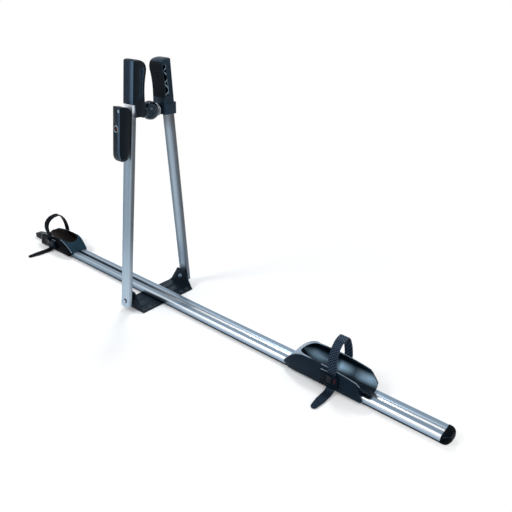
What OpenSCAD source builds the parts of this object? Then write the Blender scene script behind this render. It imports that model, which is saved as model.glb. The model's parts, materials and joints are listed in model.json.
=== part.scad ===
// Roof mounted bike carrier: an aluminium rail on a steel foot bracket, two sliding
// wheel cradles with ratchet straps, and a folding frame whose jaws grip the down tube.
// Millimetres. X runs along the rail to its rear end, Z is up, and the origin is the
// centre of the foot bracket's underside, on the roof bar.

/* [Foot bracket] */
// Length of the bracket along the rail
bracket_x = 90; // [88:1:100]
// Width of the bracket over the outer faces of its ears
bracket_y = 184; // [180:1:192]
// Thickness of the bracket's steel sheet
sheet_t = 3; // [2.5:0.1:3.5]
// Outer radius of the bend between plate and ear
bend_r = 4; // [3.6:0.1:6]
// Height of the ears over the roof bar
ear_h = 52; // [48:1:56]
// Width of the ears at their top
ear_top_w = 33; // [28:1:38]
// Radius of the ears' top corners
ear_corner_r = 5; // [3:0.5:8]
// Height of the fold pivot over the roof bar
pivot_z = 30; // [28:0.5:33]
// Radius of the pivot bolts
pivot_bolt_r = 4; // [3:0.5:5]
// Radius of the holes for the roof bar's bolts
bar_hole_r = 3.3; // [2.5:0.1:3.6]
// Half of the distance along the rail between the corner holes
bar_hole_x = 33; // [31:0.5:36]
// Distance from the middle to the outer row of holes
outer_hole_y = 80; // [77:0.5:81]
// Distance from the middle to the inner row of holes
inner_hole_y = 58; // [54:0.5:62]
// Height of the ribs pressed into the plate
rib_h = 1.4; // [0.8:0.1:1.8]
// Width of the ribs pressed into the plate
rib_w = 8; // [6:0.5:10]
// Distance from the middle to each rib
rib_x = 16; // [14:0.5:20]

/* [Rail] */
// Length of the rail's extrusion
rail_len = 1378; // [1370:2:1400]
// Distance from the bracket's middle to the rail's rear end
rail_rear = 833; // [815:1:850]
// Width of the rail
rail_w = 46; // [45:0.5:50]
// Height of the rail
rail_h = 17.5; // [16.5:0.5:20]
// Radius of the rail's upper corners
rail_corner_r = 4.5; // [3:0.5:6]
// Depth of the recess along the foot of each side
foot_recess = 2; // [1:0.5:2.5]
// Height of the recess along the foot of each side
foot_recess_h = 3; // [2:0.5:4]
// Thickness of the rail's walls
rail_wall = 2.2; // [1.8:0.1:2.6]
// Width of the slot along the top
slot_w = 8; // [7:0.5:9]
// Width of the channel under the slot
channel_w = 16.4; // [15:0.2:18]
// Height of the channel under the slot
channel_h = 6.4; // [5.5:0.1:7]
// Width of the bevel on each lip of the slot
lip_bevel = 2.4; // [1:0.2:3]
// Length of the domed cap at the rear end
rear_cap_len = 20; // [16:1:30]
// Length of the tapered cap at the front end
front_cap_len = 65; // [44:1:72]
// Width of the front cap at its tip
front_cap_tip_w = 22; // [16:1:30]
// How far the rear cap stands proud of the rail
cap_proud = 0.6; // [0.3:0.1:1.5]

/* [Folding frame] */
// Width of the leg tubes along the rail
leg_w = 34; // [32:0.5:36]
// Depth of the leg tubes
leg_d = 12.5; // [12:0.5:14]
// Corner radius of the leg tubes
leg_r = 4.5; // [3:0.5:6]
// Wall of the leg tubes
leg_wall = 1.6; // [1.2:0.1:2]
// Distance from the middle to a leg's centre at the pivot
foot_y = 107; // [106:0.5:110]
// Lean of each leg towards the middle
lean = 5.66; // [5.4:0.02:5.8]
// Length of a leg above the pivot
leg_above = 572; // [560:1:580]
// Length of a leg below the pivot
leg_below = 18; // [15:0.5:20]
// Radius of the rounded foot of a leg
foot_round_r = 30; // [26:1:40]

/* [Jaws] */
// Width of the jaws along the rail
jaw_w = 40; // [39:0.5:44]
// Corner radius of the jaws' outer edges
jaw_edge_r = 6; // [4:0.5:8]
// Distance from the middle to the flat of a pad
pad_y = 30; // [29:0.5:32]
// Distance from the middle to the hooked tip of a pad
tip_y = 21.5; // [20:0.5:23]
// Height of the hooked tip over the tie rod
tip_z = 98; // [95:1:101]
// Height of the jaws' tops over the tie rod
jaw_top = 120; // [117:0.5:124]
// Distance from a leg's centre line to the jaw's outer face at its top
jaw_out_top = 9; // [8:0.5:12]
// Distance from a leg's centre line to the jaw's outer face at the cover's lower edge
jaw_out_low = 8; // [8:0.5:10]
// Height of the cover's lower edge on the lever side, over the tie rod
cover_low = 21; // [19:1:25]
// Depth of the jaw blocks' lower ends under the tie rod
block_low = 8; // [8:1:14]
// Thickness of the rubber pads
pad_t = 4; // [3.5:0.5:5]
// Width of the collar round the right leg
collar_w = 43; // [42:0.5:48]
// Height of the collar round the right leg
collar_h = 28; // [24:1:30]
// Thickness of the ribs in the jaws' sides
jaw_rib_t = 2; // [1.5:0.1:3]
// Thickness of the web between the two side recesses
jaw_web_t = 6; // [4:0.5:12]

/* [Clamp] */
// Depth of the tie rod under the legs' upper ends
rod_z = 85.2; // [83.2:0.5:86.2]
// Radius of the tie rod
rod_r = 4; // [3:0.5:4.5]
// Radius of the knob's ball
knob_r = 22.5; // [20:0.5:23.5]
// Number of finger grooves round the knob
knob_grooves = 12; // [8:1:16]
// Radius of the knob's end collars
knob_collar_r = 12; // [9:0.5:14]
// Distance from the leg's centre line to the lever's pivot
lever_pivot_y = 25; // [24:0.5:26]
// Width of the lever
lever_w = 27; // [24:0.5:30]
// Radius of the lever's head about its pivot
lever_head_r = 17.6; // [16.5:0.1:17.8]
// Depth of the lever's lower end under the tie rod
lever_low = 109.5; // [102:0.5:119]
// Radius of the cam barrel
barrel_r = 6; // [5.5:0.1:7]
// Radius of the lock's housing
lock_r = 7; // [6:0.5:8]
// Depth of the lock under the tie rod
lock_z = 31; // [26:1:42]

/* [Rear cradle] */
// Place of the rear cradle's strap along the rail
rear_strap_x = 591; // [585:1:600]
// Distance from the strap to the rear cradle's nose
rear_nose_len = 130; // [124:1:136]
// Distance from the strap to the rear cradle's open end
rear_tail_len = 86; // [82:1:88]
// Width of the rear cradle over its crests
rear_tray_w = 66; // [65:0.5:72]
// Height of the rear cradle's crests over the roof bar
rear_crest_z = 62; // [60:0.5:66]
// Height of the rear cradle's skirts over the roof bar
rear_skirt_z = 8; // [6:0.5:9]
// Radius of the trough that the rear tyre lies in
rear_trough_r = 29; // [27:0.5:29.5]
// Height of the rear trough's centre line
rear_trough_z = 56; // [55:0.5:58]
// Distance from the strap to the centre of the rear trough's round end
rear_bowl_x = 68; // [64:1:72]
// Height of the rear strap's loop
rear_loop_z = 129; // [122:1:145]
// Reach of the rear strap's loose end from the middle
rear_tail_y = 102; // [88:1:120]
// Height of the rear buckle cover along the cradle's side
rear_buckle_h = 37; // [34:1:38]

/* [Front cradle] */
// Distance from the rail's front end to the front cradle's strap
front_strap_x = 66; // [61:1:75]
// Distance from the strap to the front cradle's nose
front_nose_len = 109; // [106:1:116]
// Distance from the strap to the front cradle's open end
front_tail_len = 76; // [72:1:80]
// Width of the front cradle over its crests
front_tray_w = 62; // [61:0.5:66]
// Height of the front cradle's crests over the roof bar
front_crest_z = 53; // [52:0.5:56]
// Height of the front cradle's skirts over the roof bar
front_skirt_z = 5; // [4:0.5:7]
// Radius of the trough that the front tyre lies in
front_trough_r = 26; // [24:0.5:26.5]
// Height of the front trough's centre line
front_trough_z = 50.5; // [50:0.5:52]
// Distance from the strap to the centre of the front trough's round end
front_bowl_x = 56; // [53:1:60]
// Height of the front strap's loop
front_loop_z = 115; // [108:1:135]
// Reach of the front strap's loose end from the middle
front_tail_y = 113; // [88:1:120]
// Height of the front buckle cover along the cradle's side
front_buckle_h = 30; // [28:1:33]

/* [Cradles and straps] */
// Width of a cradle over the lower edges of its skirts
skirt_w = 59; // [57:0.5:60]
// Width of a strap
strap_w = 20; // [18:0.5:25]
// Thickness of a strap
strap_t = 2.8; // [2.4:0.1:3]
// Pitch of the teeth across a strap
tooth_pitch = 4; // [3:0.5:6]
// Height of the teeth
tooth_h = 0.6; // [0.3:0.1:0.8]
// How far the buckle cover stands out from the cradle's side
buckle_out = 7.4; // [7.2:0.1:8]
// Radius of the pawl's pin
pawl_pin_r = 1.25; // [1:0.05:1.4]

/* [Hidden] */
$fn = 64;
eps = 0.01;
big = 2000;
// Gap between pieces that seat or slide on each other
seat_gap = 0.3;
// Radial gap of a pin that turns in its hole
running_gap = 0.05;

rail_front = rail_rear - rail_len;
front_strap_place = rail_front + front_strap_x;
rail_bottom = sheet_t;
rail_top = rail_bottom + rail_h;
channel_top = rail_top - 2.8;
channel_bottom = channel_top - channel_h;

rail_middle = (rail_bottom + rail_top) / 2;
cap_plug_len = 12;

// Bolt that each leg turns on
bolt_head_r = 5.5;
bolt_head_h = 4.6;
washer_r = 6.6;
washer_t = 1.4;
ear_out = bracket_y / 2;
ear_in = ear_out - sheet_t;
bush_r = 8;
bush_gap = 0.7;
rivet_gap = 1.1;
rivet_r = 5;
rivet_h = 2.4;
leg_out = foot_y + leg_d / 2 / cos(lean);
plug_h = leg_below + 14;
// Slack in the right foot, which lets the right leg swing open
right_slack = 1;

rail_screw_x = 30;
rail_screw_y = 15;
rail_screw_r = 2.4;
rail_screw_head_r = 4.6;
rail_screw_len = 11;

// Heights over the roof bar, all taken from the legs' upper ends
rod_height = pivot_z + leg_above * cos(lean) - rod_z;
jaw_height = rod_height + jaw_top;
tip_height = rod_height + tip_z;
cover_height = rod_height + cover_low;
block_height = rod_height - block_low;
lever_end = rod_height - lever_low;
lock_height = rod_height - lock_z;
shoulder_z = jaw_height - 9;
// Distances from the middle, taken from the legs' centre lines
jaw_top_y = leg_y(shoulder_z) + jaw_out_top;
jaw_low_y = leg_y(cover_height) + jaw_out_low;
lever_y = leg_y(rod_height) + lever_pivot_y;

jaw_screw_heights = [rod_height + 51, rod_height + 78];
jaw_screw_r = 2;
jaw_screw_head_r = 3.6;
jaw_screw_head_h = 2.4;
pad_low = rod_height + 28;
pad_bend_z = pad_low + 10;
// The pad curves inwards from its flat, up to a point just under the hooked tip
pad_curve_h = tip_height - 7 - pad_bend_z;
pad_curve_in = pad_y - tip_y - 1;
pad_curve_r = (pad_curve_in * pad_curve_in + pad_curve_h * pad_curve_h) / (2 * pad_curve_in);
pad_curve_angle = asin(pad_curve_h / pad_curve_r);
pad_groove_pitch = 7;
recess_low = pad_low + 4;
recess_top = jaw_height - 16;
recess_margin = 1.6;
skin_recess_t = 1.4;
collar_low = block_height - 4;
notch_w = 4.4;

// Slack round the rod in the right jaw, which lets that jaw swing open
rod_slack = 3.6;
// How far the rod reaches past the cam barrel's axis, inside the barrel
rod_reach = sqrt(barrel_r * barrel_r - rod_r * rod_r) - 0.3;
rod_hole_r = rod_r + 0.6;
collar_bore_r = rod_r + rod_slack;
rod_collar_r = collar_bore_r + 2;
rod_collar_len = 9;
groove_r = 3;

lever_tilt = 5;
// Depth under the rod at which the lever's tilted outer face is set
lever_face_drop = 60;
lever_face_in = 2.2;
lever_depth = 60;
lever_top = rod_height + 19;
lever_out_top = lever_y + 14;
lever_out_low = lever_y + 23;
lever_wall = 3;
barrel_half = 9;
lever_screw_x = 7;
lever_screw_z = rod_height + 9.5;
lever_screw_r = 1.5;
lever_screw_head_r = 3.2;
lock_back = lever_out_low - 16;
lock_face = lever_out_low - 4;
lock_core_r = lock_r - 2;

tray_bolt_x = -40;
tray_bolt_r = 3;
tray_bolt_head_r = 6;
tray_bolt_sink = 1.8;
tray_nut_len = 24;
tray_nut_h = 5.2;
strap_mid = seat_gap + strap_t / 2;
// How much narrower than an ellipse a loop is on its fixed side, and how much wider on the
// buckle's side
rear_pinch = 0.3;
rear_bulge = 0.3;
front_pinch = 0.1;
front_bulge = 0.75;
strap_root = 10;
strap_end_r = strap_w / 2 - 3;
buckle_low = 5;
buckle_half_left = 27;
buckle_half_right = 17;
buckle_channel = seat_gap + strap_t + tooth_h + 0.3;
pawl_pin_z = buckle_low + 15;
pawl_pin_out = (buckle_channel + buckle_out) / 2;
pawl_half = 8.6;
pawl_boss_r = pawl_pin_out - buckle_channel + 0.1;
strap_rivet_z = 20;
strap_rivet_r = 2;
strap_rivet_len = 8;
strap_rivet_head_r = 4.5;
strap_rivet_head_h = 1.8;

black = [0.06, 0.065, 0.075];
rubber = [0.04, 0.04, 0.045];
anodised = [0.62, 0.68, 0.74];
zinc = [0.78, 0.8, 0.82];

// Point on a quadratic curve from a to c that is pulled towards b
function curve_point(a, b, c, t) = (1 - t) * (1 - t) * a + 2 * t * (1 - t) * b + t * t * c;

// Points along that curve, without its first point
function curve(a, b, c, n) = [for (i = [1:n]) curve_point(a, b, c, i / n)];

// Points along an arc
function arc(centre, r, from, to, n) =
  [for (i = [0:n]) centre + r * [cos(from + (to - from) * i / n), sin(from + (to - from) * i / n)]];

// Shape drawn in Y and Z, extruded along X about the middle
module along_x(len) {
  rotate([90, 0, 90]) linear_extrude(len, center = true) children();
}

// Shape drawn in X and Z, extruded along Y about the middle
module along_y(len) {
  rotate([90, 0, 0]) linear_extrude(len, center = true) children();
}

// Cylinder along X about the middle
module rod_x(r, len) {
  rotate([0, 90, 0]) cylinder(r = r, h = len, center = true);
}

// Cylinder along Y, from one distance to another
module rod_y(r, from, to) {
  translate([0, to, 0]) rotate([90, 0, 0]) cylinder(r = r, h = to - from);
}

// Rectangle with round corners
module round_rect(w, h, r) {
  square([w - 2 * r, h], center = true);
  square([w, h - 2 * r], center = true);
  for (sx = [-1, 1], sy = [-1, 1])
    translate([sx * (w / 2 - r), sy * (h / 2 - r)]) circle(r);
}

// Puts a right hand shape on the left side
module on_left() {
  mirror([0, 1, 0]) children();
}

// Frame of the right leg, with Z along the tube from the pivot
module leg_frame() {
  translate([0, foot_y, pivot_z]) rotate([lean, 0, 0]) children();
}

// Distance from the middle to a leg's centre line at a height
function leg_y(z) = foot_y - (z - pivot_z) * tan(lean);

// Foot bracket

// Outline of an ear, with round top corners
module ear_outline() {
  polygon([[-bracket_x / 2, 0], [-ear_top_w / 2, ear_h - ear_corner_r],
    [-ear_top_w / 2 + ear_corner_r, ear_h], [ear_top_w / 2 - ear_corner_r, ear_h],
    [ear_top_w / 2, ear_h - ear_corner_r], [bracket_x / 2, 0]]);
  for (sx = [-1, 1])
    translate([sx * (ear_top_w / 2 - ear_corner_r), ear_h - ear_corner_r]) circle(ear_corner_r);
}

// Section of the bent sheet: plate and two upright ears
module bracket_section() {
  difference() {
    union() {
      translate([-ear_out + bend_r, 0]) square([bracket_y - 2 * bend_r, ear_h]);
      translate([-ear_out, bend_r]) square([bracket_y, ear_h - bend_r]);
      for (sy = [-1, 1]) translate([sy * (ear_out - bend_r), bend_r]) circle(bend_r);
    }
    translate([-ear_in + bend_r - sheet_t, sheet_t]) square([2 * (ear_in - bend_r + sheet_t), ear_h]);
    translate([-ear_in, bend_r]) square([2 * ear_in, ear_h]);
    for (sy = [-1, 1]) translate([sy * (ear_out - bend_r), bend_r]) circle(bend_r - sheet_t);
  }
}

// Rib pressed up out of the plate, with round ends
module plate_rib(from, to) {
  rib_r = (rib_w * rib_w / 4 + rib_h * rib_h) / (2 * rib_h);
  intersection() {
    translate([0, 0, sheet_t + rib_h - rib_r]) rod_y(rib_r, from, to);
    translate([0, (from + to) / 2, sheet_t - 1 + rib_h / 2])
      linear_extrude(rib_h + 2, center = true) round_rect(rib_w - 0.6, to - from, rib_w / 2 - 0.8);
  }
}

module base_bracket() {
  color(black) difference() {
    union() {
      intersection() {
        along_x(bracket_x) bracket_section();
        union() {
          translate([-bracket_x / 2, -ear_out, 0]) cube([bracket_x, bracket_y, bend_r + 1]);
          along_y(bracket_y + 2) ear_outline();
        }
      }
      for (sx = [-1, 1], sy = [-1, 1])
        translate([sx * rib_x, 0, 0]) mirror([0, sy < 0 ? 1 : 0, 0])
          plate_rib(rail_w / 2 + 4, ear_in - 4);
    }
    for (sx = [-1, 1], sy = [-1, 1]) {
      translate([sx * bar_hole_x, sy * outer_hole_y, -1]) cylinder(r = bar_hole_r, h = sheet_t + 2);
      translate([sx * bar_hole_x, sy * inner_hole_y, -1]) cylinder(r = bar_hole_r, h = sheet_t + 2);
      translate([sx * rail_screw_x, sy * rail_screw_y, -1])
        cylinder(r = rail_screw_r + seat_gap, h = sheet_t + 2);
      translate([sx * rail_screw_x, sy * rail_screw_y, -eps])
        cylinder(r1 = rail_screw_head_r + 0.2, r2 = rail_screw_r + 0.2, h = sheet_t - 0.6);
    }
    for (sy = [-1, 1]) {
      translate([0, sy * inner_hole_y, -1]) cylinder(r = bar_hole_r, h = sheet_t + 2);
      translate([0, 0, pivot_z]) mirror([0, sy < 0 ? 1 : 0, 0])
        rod_y(pivot_bolt_r + running_gap, ear_in - 2, ear_out + 2);
    }
  }
}

// Hexagon bolt through ear and leg, with its end riveted over
module pivot_bolt() {
  translate([0, 0, pivot_z]) {
    rod_y(pivot_bolt_r, ear_in - bolt_head_h, leg_out + rivet_gap + 0.5);
    rotate([-90, 0, 0]) translate([0, 0, ear_in - bolt_head_h])
      cylinder(r = bolt_head_r, h = bolt_head_h - washer_t, $fn = 6);
    rod_y(washer_r, ear_in - washer_t, ear_in);
    intersection() {
      translate([0, leg_out + rivet_gap + rivet_h - rivet_r * 1.6, 0]) sphere(rivet_r * 1.6);
      rod_y(rivet_r, leg_out + rivet_gap, leg_out + rivet_gap + rivet_h);
    }
  }
}

module pivot_bolts() {
  color(zinc) {
    pivot_bolt();
    on_left() pivot_bolt();
  }
}

module rail_screws() {
  color(zinc)
    for (sx = [-1, 1], sy = [-1, 1])
      translate([sx * rail_screw_x, sy * rail_screw_y, 0.2]) {
        cylinder(r = rail_screw_r, h = rail_screw_len);
        cylinder(r1 = rail_screw_head_r, r2 = rail_screw_r, h = sheet_t - 0.8);
      }
}

// Rail

// Outline of the extrusion, with round shoulders and a recess along each foot
module rail_outline() {
  half = rail_w / 2;
  shoulder = rail_top - rail_corner_r;
  translate([-half + foot_recess, rail_bottom]) square([rail_w - 2 * foot_recess, rail_h - 1]);
  translate([-half, rail_bottom + foot_recess_h])
    square([rail_w, rail_h - foot_recess_h - rail_corner_r]);
  translate([-half + rail_corner_r, shoulder - 1]) square([rail_w - 2 * rail_corner_r, rail_corner_r + 1]);
  for (sy = [-1, 1]) translate([sy * (half - rail_corner_r), shoulder]) circle(rail_corner_r);
}

// One of the two hollow chambers beside the channel, at plus Y
module rail_chamber(gap = 0) {
  from = channel_w / 2 + rail_wall + gap;
  to = rail_w / 2 - foot_recess - rail_wall - gap;
  translate([from, rail_bottom + rail_wall + gap])
    square([to - from, rail_h - 2 * rail_wall - 2 * gap]);
}

module rail() {
  color(anodised) translate([(rail_rear + rail_front) / 2, 0, 0]) difference() {
    along_x(rail_len) difference() {
      rail_outline();
      translate([-slot_w / 2, channel_top - 1]) square([slot_w, rail_top - channel_top + 2]);
      polygon([[-slot_w / 2, rail_top - lip_bevel], [-slot_w / 2 - lip_bevel, rail_top + eps],
        [slot_w / 2 + lip_bevel, rail_top + eps], [slot_w / 2, rail_top - lip_bevel]]);
      translate([-channel_w / 2, channel_bottom]) square([channel_w, channel_h]);
      rail_chamber();
      mirror([1, 0]) rail_chamber();
      translate([-channel_w / 2 + 1, rail_bottom + rail_wall])
        square([channel_w - 2, channel_bottom - rail_wall - rail_bottom - rail_wall]);
    }
    translate([-(rail_rear + rail_front) / 2, 0, 0])
      for (sx = [-1, 1], sy = [-1, 1])
        translate([sx * rail_screw_x, sy * rail_screw_y, 0])
          cylinder(r = rail_screw_r + running_gap, h = rail_screw_len + 1);
  }
}

// Section of an end cap: the rail's own, or larger by how far the cap stands proud
module cap_section(proud = 0) {
  translate([0, rail_middle])
    round_rect(rail_w + 2 * proud, rail_h + 2 * proud, rail_corner_r);
}

// Plugs of an end cap, which fill the ends of the rail's two chambers
module cap_plugs() {
  translate([-cap_plug_len / 2 + eps, 0, 0]) {
    along_x(cap_plug_len) rail_chamber(seat_gap);
    along_x(cap_plug_len) mirror([1, 0]) rail_chamber(seat_gap);
  }
}

// Cap with a dome that is rounded in plan and in side view
module rear_end_cap() {
  plan_r = rail_w / 2 + 1;
  side_r = rail_h / 2 + 3.2;
  lift = 1.5;
  color(black) translate([rail_rear, 0, 0]) {
    intersection() {
      translate([rear_cap_len, 0, 0]) along_x(2 * rear_cap_len) cap_section(cap_proud);
      translate([rear_cap_len + 0.5 - plan_r, 0, 0]) cylinder(r = plan_r, h = 2 * rail_top);
      translate([0, 0, rail_middle]) union() {
        translate([-1, -rail_w, -rail_h]) cube([rear_cap_len - side_r + 1, 2 * rail_w, 2 * rail_h]);
        translate([rear_cap_len - side_r, 0, lift]) rotate([90, 0, 0])
          cylinder(r = side_r, h = rail_w + 10, center = true);
      }
    }
    cap_plugs();
  }
}

// Plan of the front cap: a flange over the rail's end, then a slim tongue
module front_cap_plan() {
  tongue = front_cap_tip_w / 2;
  flange = [3, rail_w / 2 + 1];
  side = concat([[-1, flange.y], flange],
    curve(flange, [8, tongue + 1.5], [14, tongue + 1], 6),
    curve([front_cap_len - 7, tongue], [front_cap_len, tongue], [front_cap_len, tongue - 6], 6));
  polygon(concat(side, [for (i = [len(side) - 1:-1:0]) [side[i].x, -side[i].y]]));
}

module front_end_cap() {
  color(black) translate([rail_front, 0, 0]) mirror([1, 0, 0]) {
    intersection() {
      translate([front_cap_len / 2, 0, 0]) along_x(front_cap_len) cap_section();
      linear_extrude(2 * rail_top) front_cap_plan();
      along_y(rail_w + 10) polygon(concat([[-1, 0], [-1, rail_top + 2], [6, rail_top + 2]],
        curve([6, rail_top + 2], [front_cap_len * 0.8, rail_top - 1],
          [front_cap_len + 1, rail_middle + 3], 8),
        [[front_cap_len + 1, 0]]));
    }
    cap_plugs();
  }
}

// Legs

// Right leg tube; the hole for the rod is only on the lever side
module leg(hole_r, side_hole_r) {
  difference() {
    leg_frame() difference() {
      translate([0, 0, -leg_below - 8]) linear_extrude(leg_above + leg_below + 8) difference() {
        round_rect(leg_w, leg_d, leg_r);
        round_rect(leg_w - 2 * leg_wall, leg_d - 2 * leg_wall, leg_r - leg_wall);
      }
      difference() {
        translate([-leg_w, -leg_d, -leg_below - 10]) cube([2 * leg_w, 2 * leg_d, 22]);
        translate([0, 0, foot_round_r - leg_below]) rotate([90, 0, 0])
          cylinder(r = foot_round_r, h = 3 * leg_d, center = true);
      }
    }
    translate([0, 0, pivot_z]) rod_y(hole_r, foot_y - leg_d, foot_y + leg_d);
    if (side_hole_r > 0)
      translate([0, 0, rod_height]) rod_y(side_hole_r, leg_y(rod_height) - leg_d, leg_y(rod_height) + leg_d);
    for (z = jaw_screw_heights)
      translate([0, 0, z]) rod_y(jaw_screw_r + running_gap, leg_y(z) - leg_d, leg_y(z));
  }
}

module left_leg() {
  color(anodised) on_left() leg(pivot_bolt_r + running_gap, rod_hole_r);
}

module right_leg() {
  color(anodised) leg(pivot_bolt_r + right_slack, 0);
}

// Plastic plug that fills the foot of a leg round the pivot bolt
module foot_plug(hole_r) {
  difference() {
    leg_frame() difference() {
      translate([0, 0, -leg_below - 4]) linear_extrude(plug_h + 4)
        round_rect(leg_w - 2 * leg_wall - 0.2, leg_d - 2 * leg_wall - 0.2, leg_r - leg_wall);
      difference() {
        translate([-leg_w, -leg_d, -leg_below - 10]) cube([2 * leg_w, 2 * leg_d, 22]);
        translate([0, 0, foot_round_r - leg_below]) rotate([90, 0, 0])
          cylinder(r = foot_round_r, h = 3 * leg_d, center = true);
      }
    }
    translate([0, 0, pivot_z]) rod_y(hole_r, foot_y - leg_d, foot_y + leg_d);
  }
}

module left_foot_plug() {
  color(black) on_left() foot_plug(pivot_bolt_r + running_gap);
}

module right_foot_plug() {
  color(black) foot_plug(pivot_bolt_r + right_slack);
}

// Wedge shaped bush that fills the space between an upright ear and a leaning leg
module pivot_bush(hole_r) {
  difference() {
    translate([0, 0, pivot_z]) rod_y(bush_r, ear_out + bush_gap, foot_y);
    leg_frame() translate([-big / 2, -leg_d / 2, -big / 2]) cube(big);
    translate([0, 0, pivot_z]) rod_y(hole_r, ear_out, foot_y + 1);
  }
}

module left_pivot_bush() {
  color(black) on_left() pivot_bush(pivot_bolt_r + running_gap);
}

module right_pivot_bush() {
  color(black) pivot_bush(pivot_bolt_r + right_slack);
}

// Jaws

// Gripping face from its lower end to the tip, shifted outwards by a thickness
function pad_face(low, shift) = concat([[pad_y + shift, low]],
  arc([pad_y - pad_curve_r, pad_bend_z], pad_curve_r + shift, 0, pad_curve_angle, 10));

// Distance from the middle to a jaw's outer face at a height
function jaw_out(z) =
  jaw_top_y + (shoulder_z - z) * (jaw_low_y - jaw_top_y) / (shoulder_z - cover_height);

// Side view of a jaw: gripping face, hooked tip, domed top and outer face
module jaw_outline(low) {
  tip = [tip_y, tip_height];
  crown = [(pad_y + jaw_top_y) / 2 + 5, jaw_height];
  shoulder = [jaw_out(shoulder_z), shoulder_z];
  polygon(concat(pad_face(low, 0), [tip], curve(tip, [tip_y, jaw_height - 2], crown, 9),
    curve(crown, [shoulder.x - 0.5, jaw_height], shoulder, 7), [[jaw_out(low), low]]));
}

// Front view of a jaw, with round upper corners
module jaw_front_outline() {
  top_r = 9;
  translate([-jaw_w / 2, 0]) square([jaw_w, jaw_height - top_r]);
  translate([-jaw_w / 2 + top_r, 0]) square([jaw_w - 2 * top_r, jaw_height]);
  for (sx = [-1, 1]) translate([sx * (jaw_w / 2 - top_r), jaw_height - top_r]) circle(top_r);
}

// Solid form of a jaw with its pad
module jaw_form(low) {
  outer_lean = atan((jaw_low_y - jaw_top_y) / (shoulder_z - cover_height));
  depth = 80;
  intersection() {
    along_x(jaw_w) jaw_outline(low);
    along_y(big) jaw_front_outline();
    translate([0, jaw_low_y - depth / 2 / cos(outer_lean), cover_height]) rotate([outer_lean, 0, 0])
      linear_extrude(big, center = true) round_rect(jaw_w, depth, jaw_edge_r);
  }
}

// Band along the gripping face that the rubber pad fills
module pad_band() {
  face = pad_face(pad_low, -12);
  back = pad_face(pad_low, pad_t);
  last = back[len(back) - 1];
  along_x(jaw_w + 4)
    polygon(concat(face, [[tip_y - 12, jaw_height + 5], [last.x - 1, jaw_height + 5]],
      [for (i = [len(back) - 1:-1:0]) back[i]]));
}

// Socket for the end of a leg
module leg_socket() {
  leg_frame() translate([0, 0, 300]) linear_extrude(leg_above + seat_gap - 300)
    round_rect(leg_w + 0.4, leg_d + 0.4, leg_r);
}

// Recess in the side of a jaw, from behind the pad to a distance inside of the leg or skin
module side_recess_outline(outer_high, outer_low) {
  back = pad_face(recess_low, pad_t + recess_margin);
  polygon(concat(back, [[back[len(back) - 1].x + 1, recess_top], [outer_high - 2, recess_top],
    [outer_high, recess_top - 4], [outer_low, recess_low]]));
}

// Deep part of the recess, which ends beside the leg's socket
module deep_recess_outline() {
  inset = leg_d / 2 + 2.6;
  side_recess_outline(leg_y(recess_top) - inset, leg_y(recess_low) - inset);
}

// Shallow part of the recess, which runs on over the leg
module skin_recess_outline() {
  inset = 6;
  side_recess_outline(jaw_out(recess_top) - inset, jaw_out(recess_low) - inset);
}

// Zigzag ribs across the recess
module zigzag_ribs(count) {
  step = (recess_top - recess_low) / count;
  for (i = [0:count - 1])
    translate([(pad_y + leg_y(recess_low)) / 2 - i * 0.9, recess_low + (i + 0.5) * step])
      rotate(i % 2 == 0 ? 42 : -42) square([recess_top - recess_low, jaw_rib_t], center = true);
}

// Upright ribs along the recess
module upright_ribs() {
  for (w = [pad_y + pad_t + 4.5, pad_y + pad_t + 9])
    translate([w, (recess_low + recess_top) / 2]) rotate(lean)
      square([jaw_rib_t * 0.6, 2 * (recess_top - recess_low)], center = true);
}

// Open recesses in both sides of a jaw, with ribs left standing in them
module side_recesses(zigzag) {
  depth = (jaw_w - jaw_web_t) / 2;
  for (side = [-1, 1]) {
    translate([side * (jaw_web_t / 2 + depth / 2), 0, 0]) difference() {
      along_x(depth + 1) deep_recess_outline();
      translate([-side * skin_recess_t, 0, 0]) along_x(depth + 2) intersection() {
        deep_recess_outline();
        if (zigzag) zigzag_ribs(5);
        else upright_ribs();
      }
    }
    if (zigzag)
      translate([side * (jaw_w / 2 + 1), 0, 0]) along_x(2 * skin_recess_t + 2) skin_recess_outline();
  }
}

// Holes for the two screws that hold a jaw on its leg, hidden behind the pad
module jaw_screw_holes() {
  for (z = jaw_screw_heights) translate([0, 0, z]) {
    rod_y(jaw_screw_r + running_gap, pad_y, leg_y(z));
    rod_y(jaw_screw_head_r + 0.2, pad_y, pad_y + pad_t + jaw_screw_head_h + 0.4);
  }
}

module jaw_screws_right() {
  for (z = jaw_screw_heights) translate([0, 0, z]) {
    rod_y(jaw_screw_r, pad_y + pad_t + 0.4, leg_y(z) - 1);
    rod_y(jaw_screw_head_r, pad_y + pad_t + 0.4, pad_y + pad_t + 0.4 + jaw_screw_head_h);
  }
}

module left_jaw() {
  color(black) on_left() difference() {
    jaw_form(block_height);
    pad_band();
    leg_socket();
    side_recesses(false);
    jaw_screw_holes();
    translate([-50, leg_y(cover_height) + 1, block_height - 10])
      cube([100, 50, cover_height - block_height + 10]);
    translate([0, 0, rod_height]) rod_y(rod_hole_r, pad_y - 20, 100);
    translate([-50, jaw_out(cover_height + 12) + 0.2, cover_height - 1]) cube([100, 20, 11]);
  }
}

// Wide collar round the right leg, with notches in its upper rim
module leg_collar() {
  back = leg_y(block_height) + leg_d / 2 + 4;
  difference() {
    translate([0, (pad_y + back) / 2, collar_low]) linear_extrude(collar_h)
      round_rect(collar_w, back - pad_y, 5);
    for (side = [-1, 1], y = [pad_y + 9:9:back - 8])
      translate([side * collar_w / 2, y, collar_low + collar_h]) rotate([45, 0, 0])
        cube([7, notch_w, notch_w], center = true);
  }
}

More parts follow.
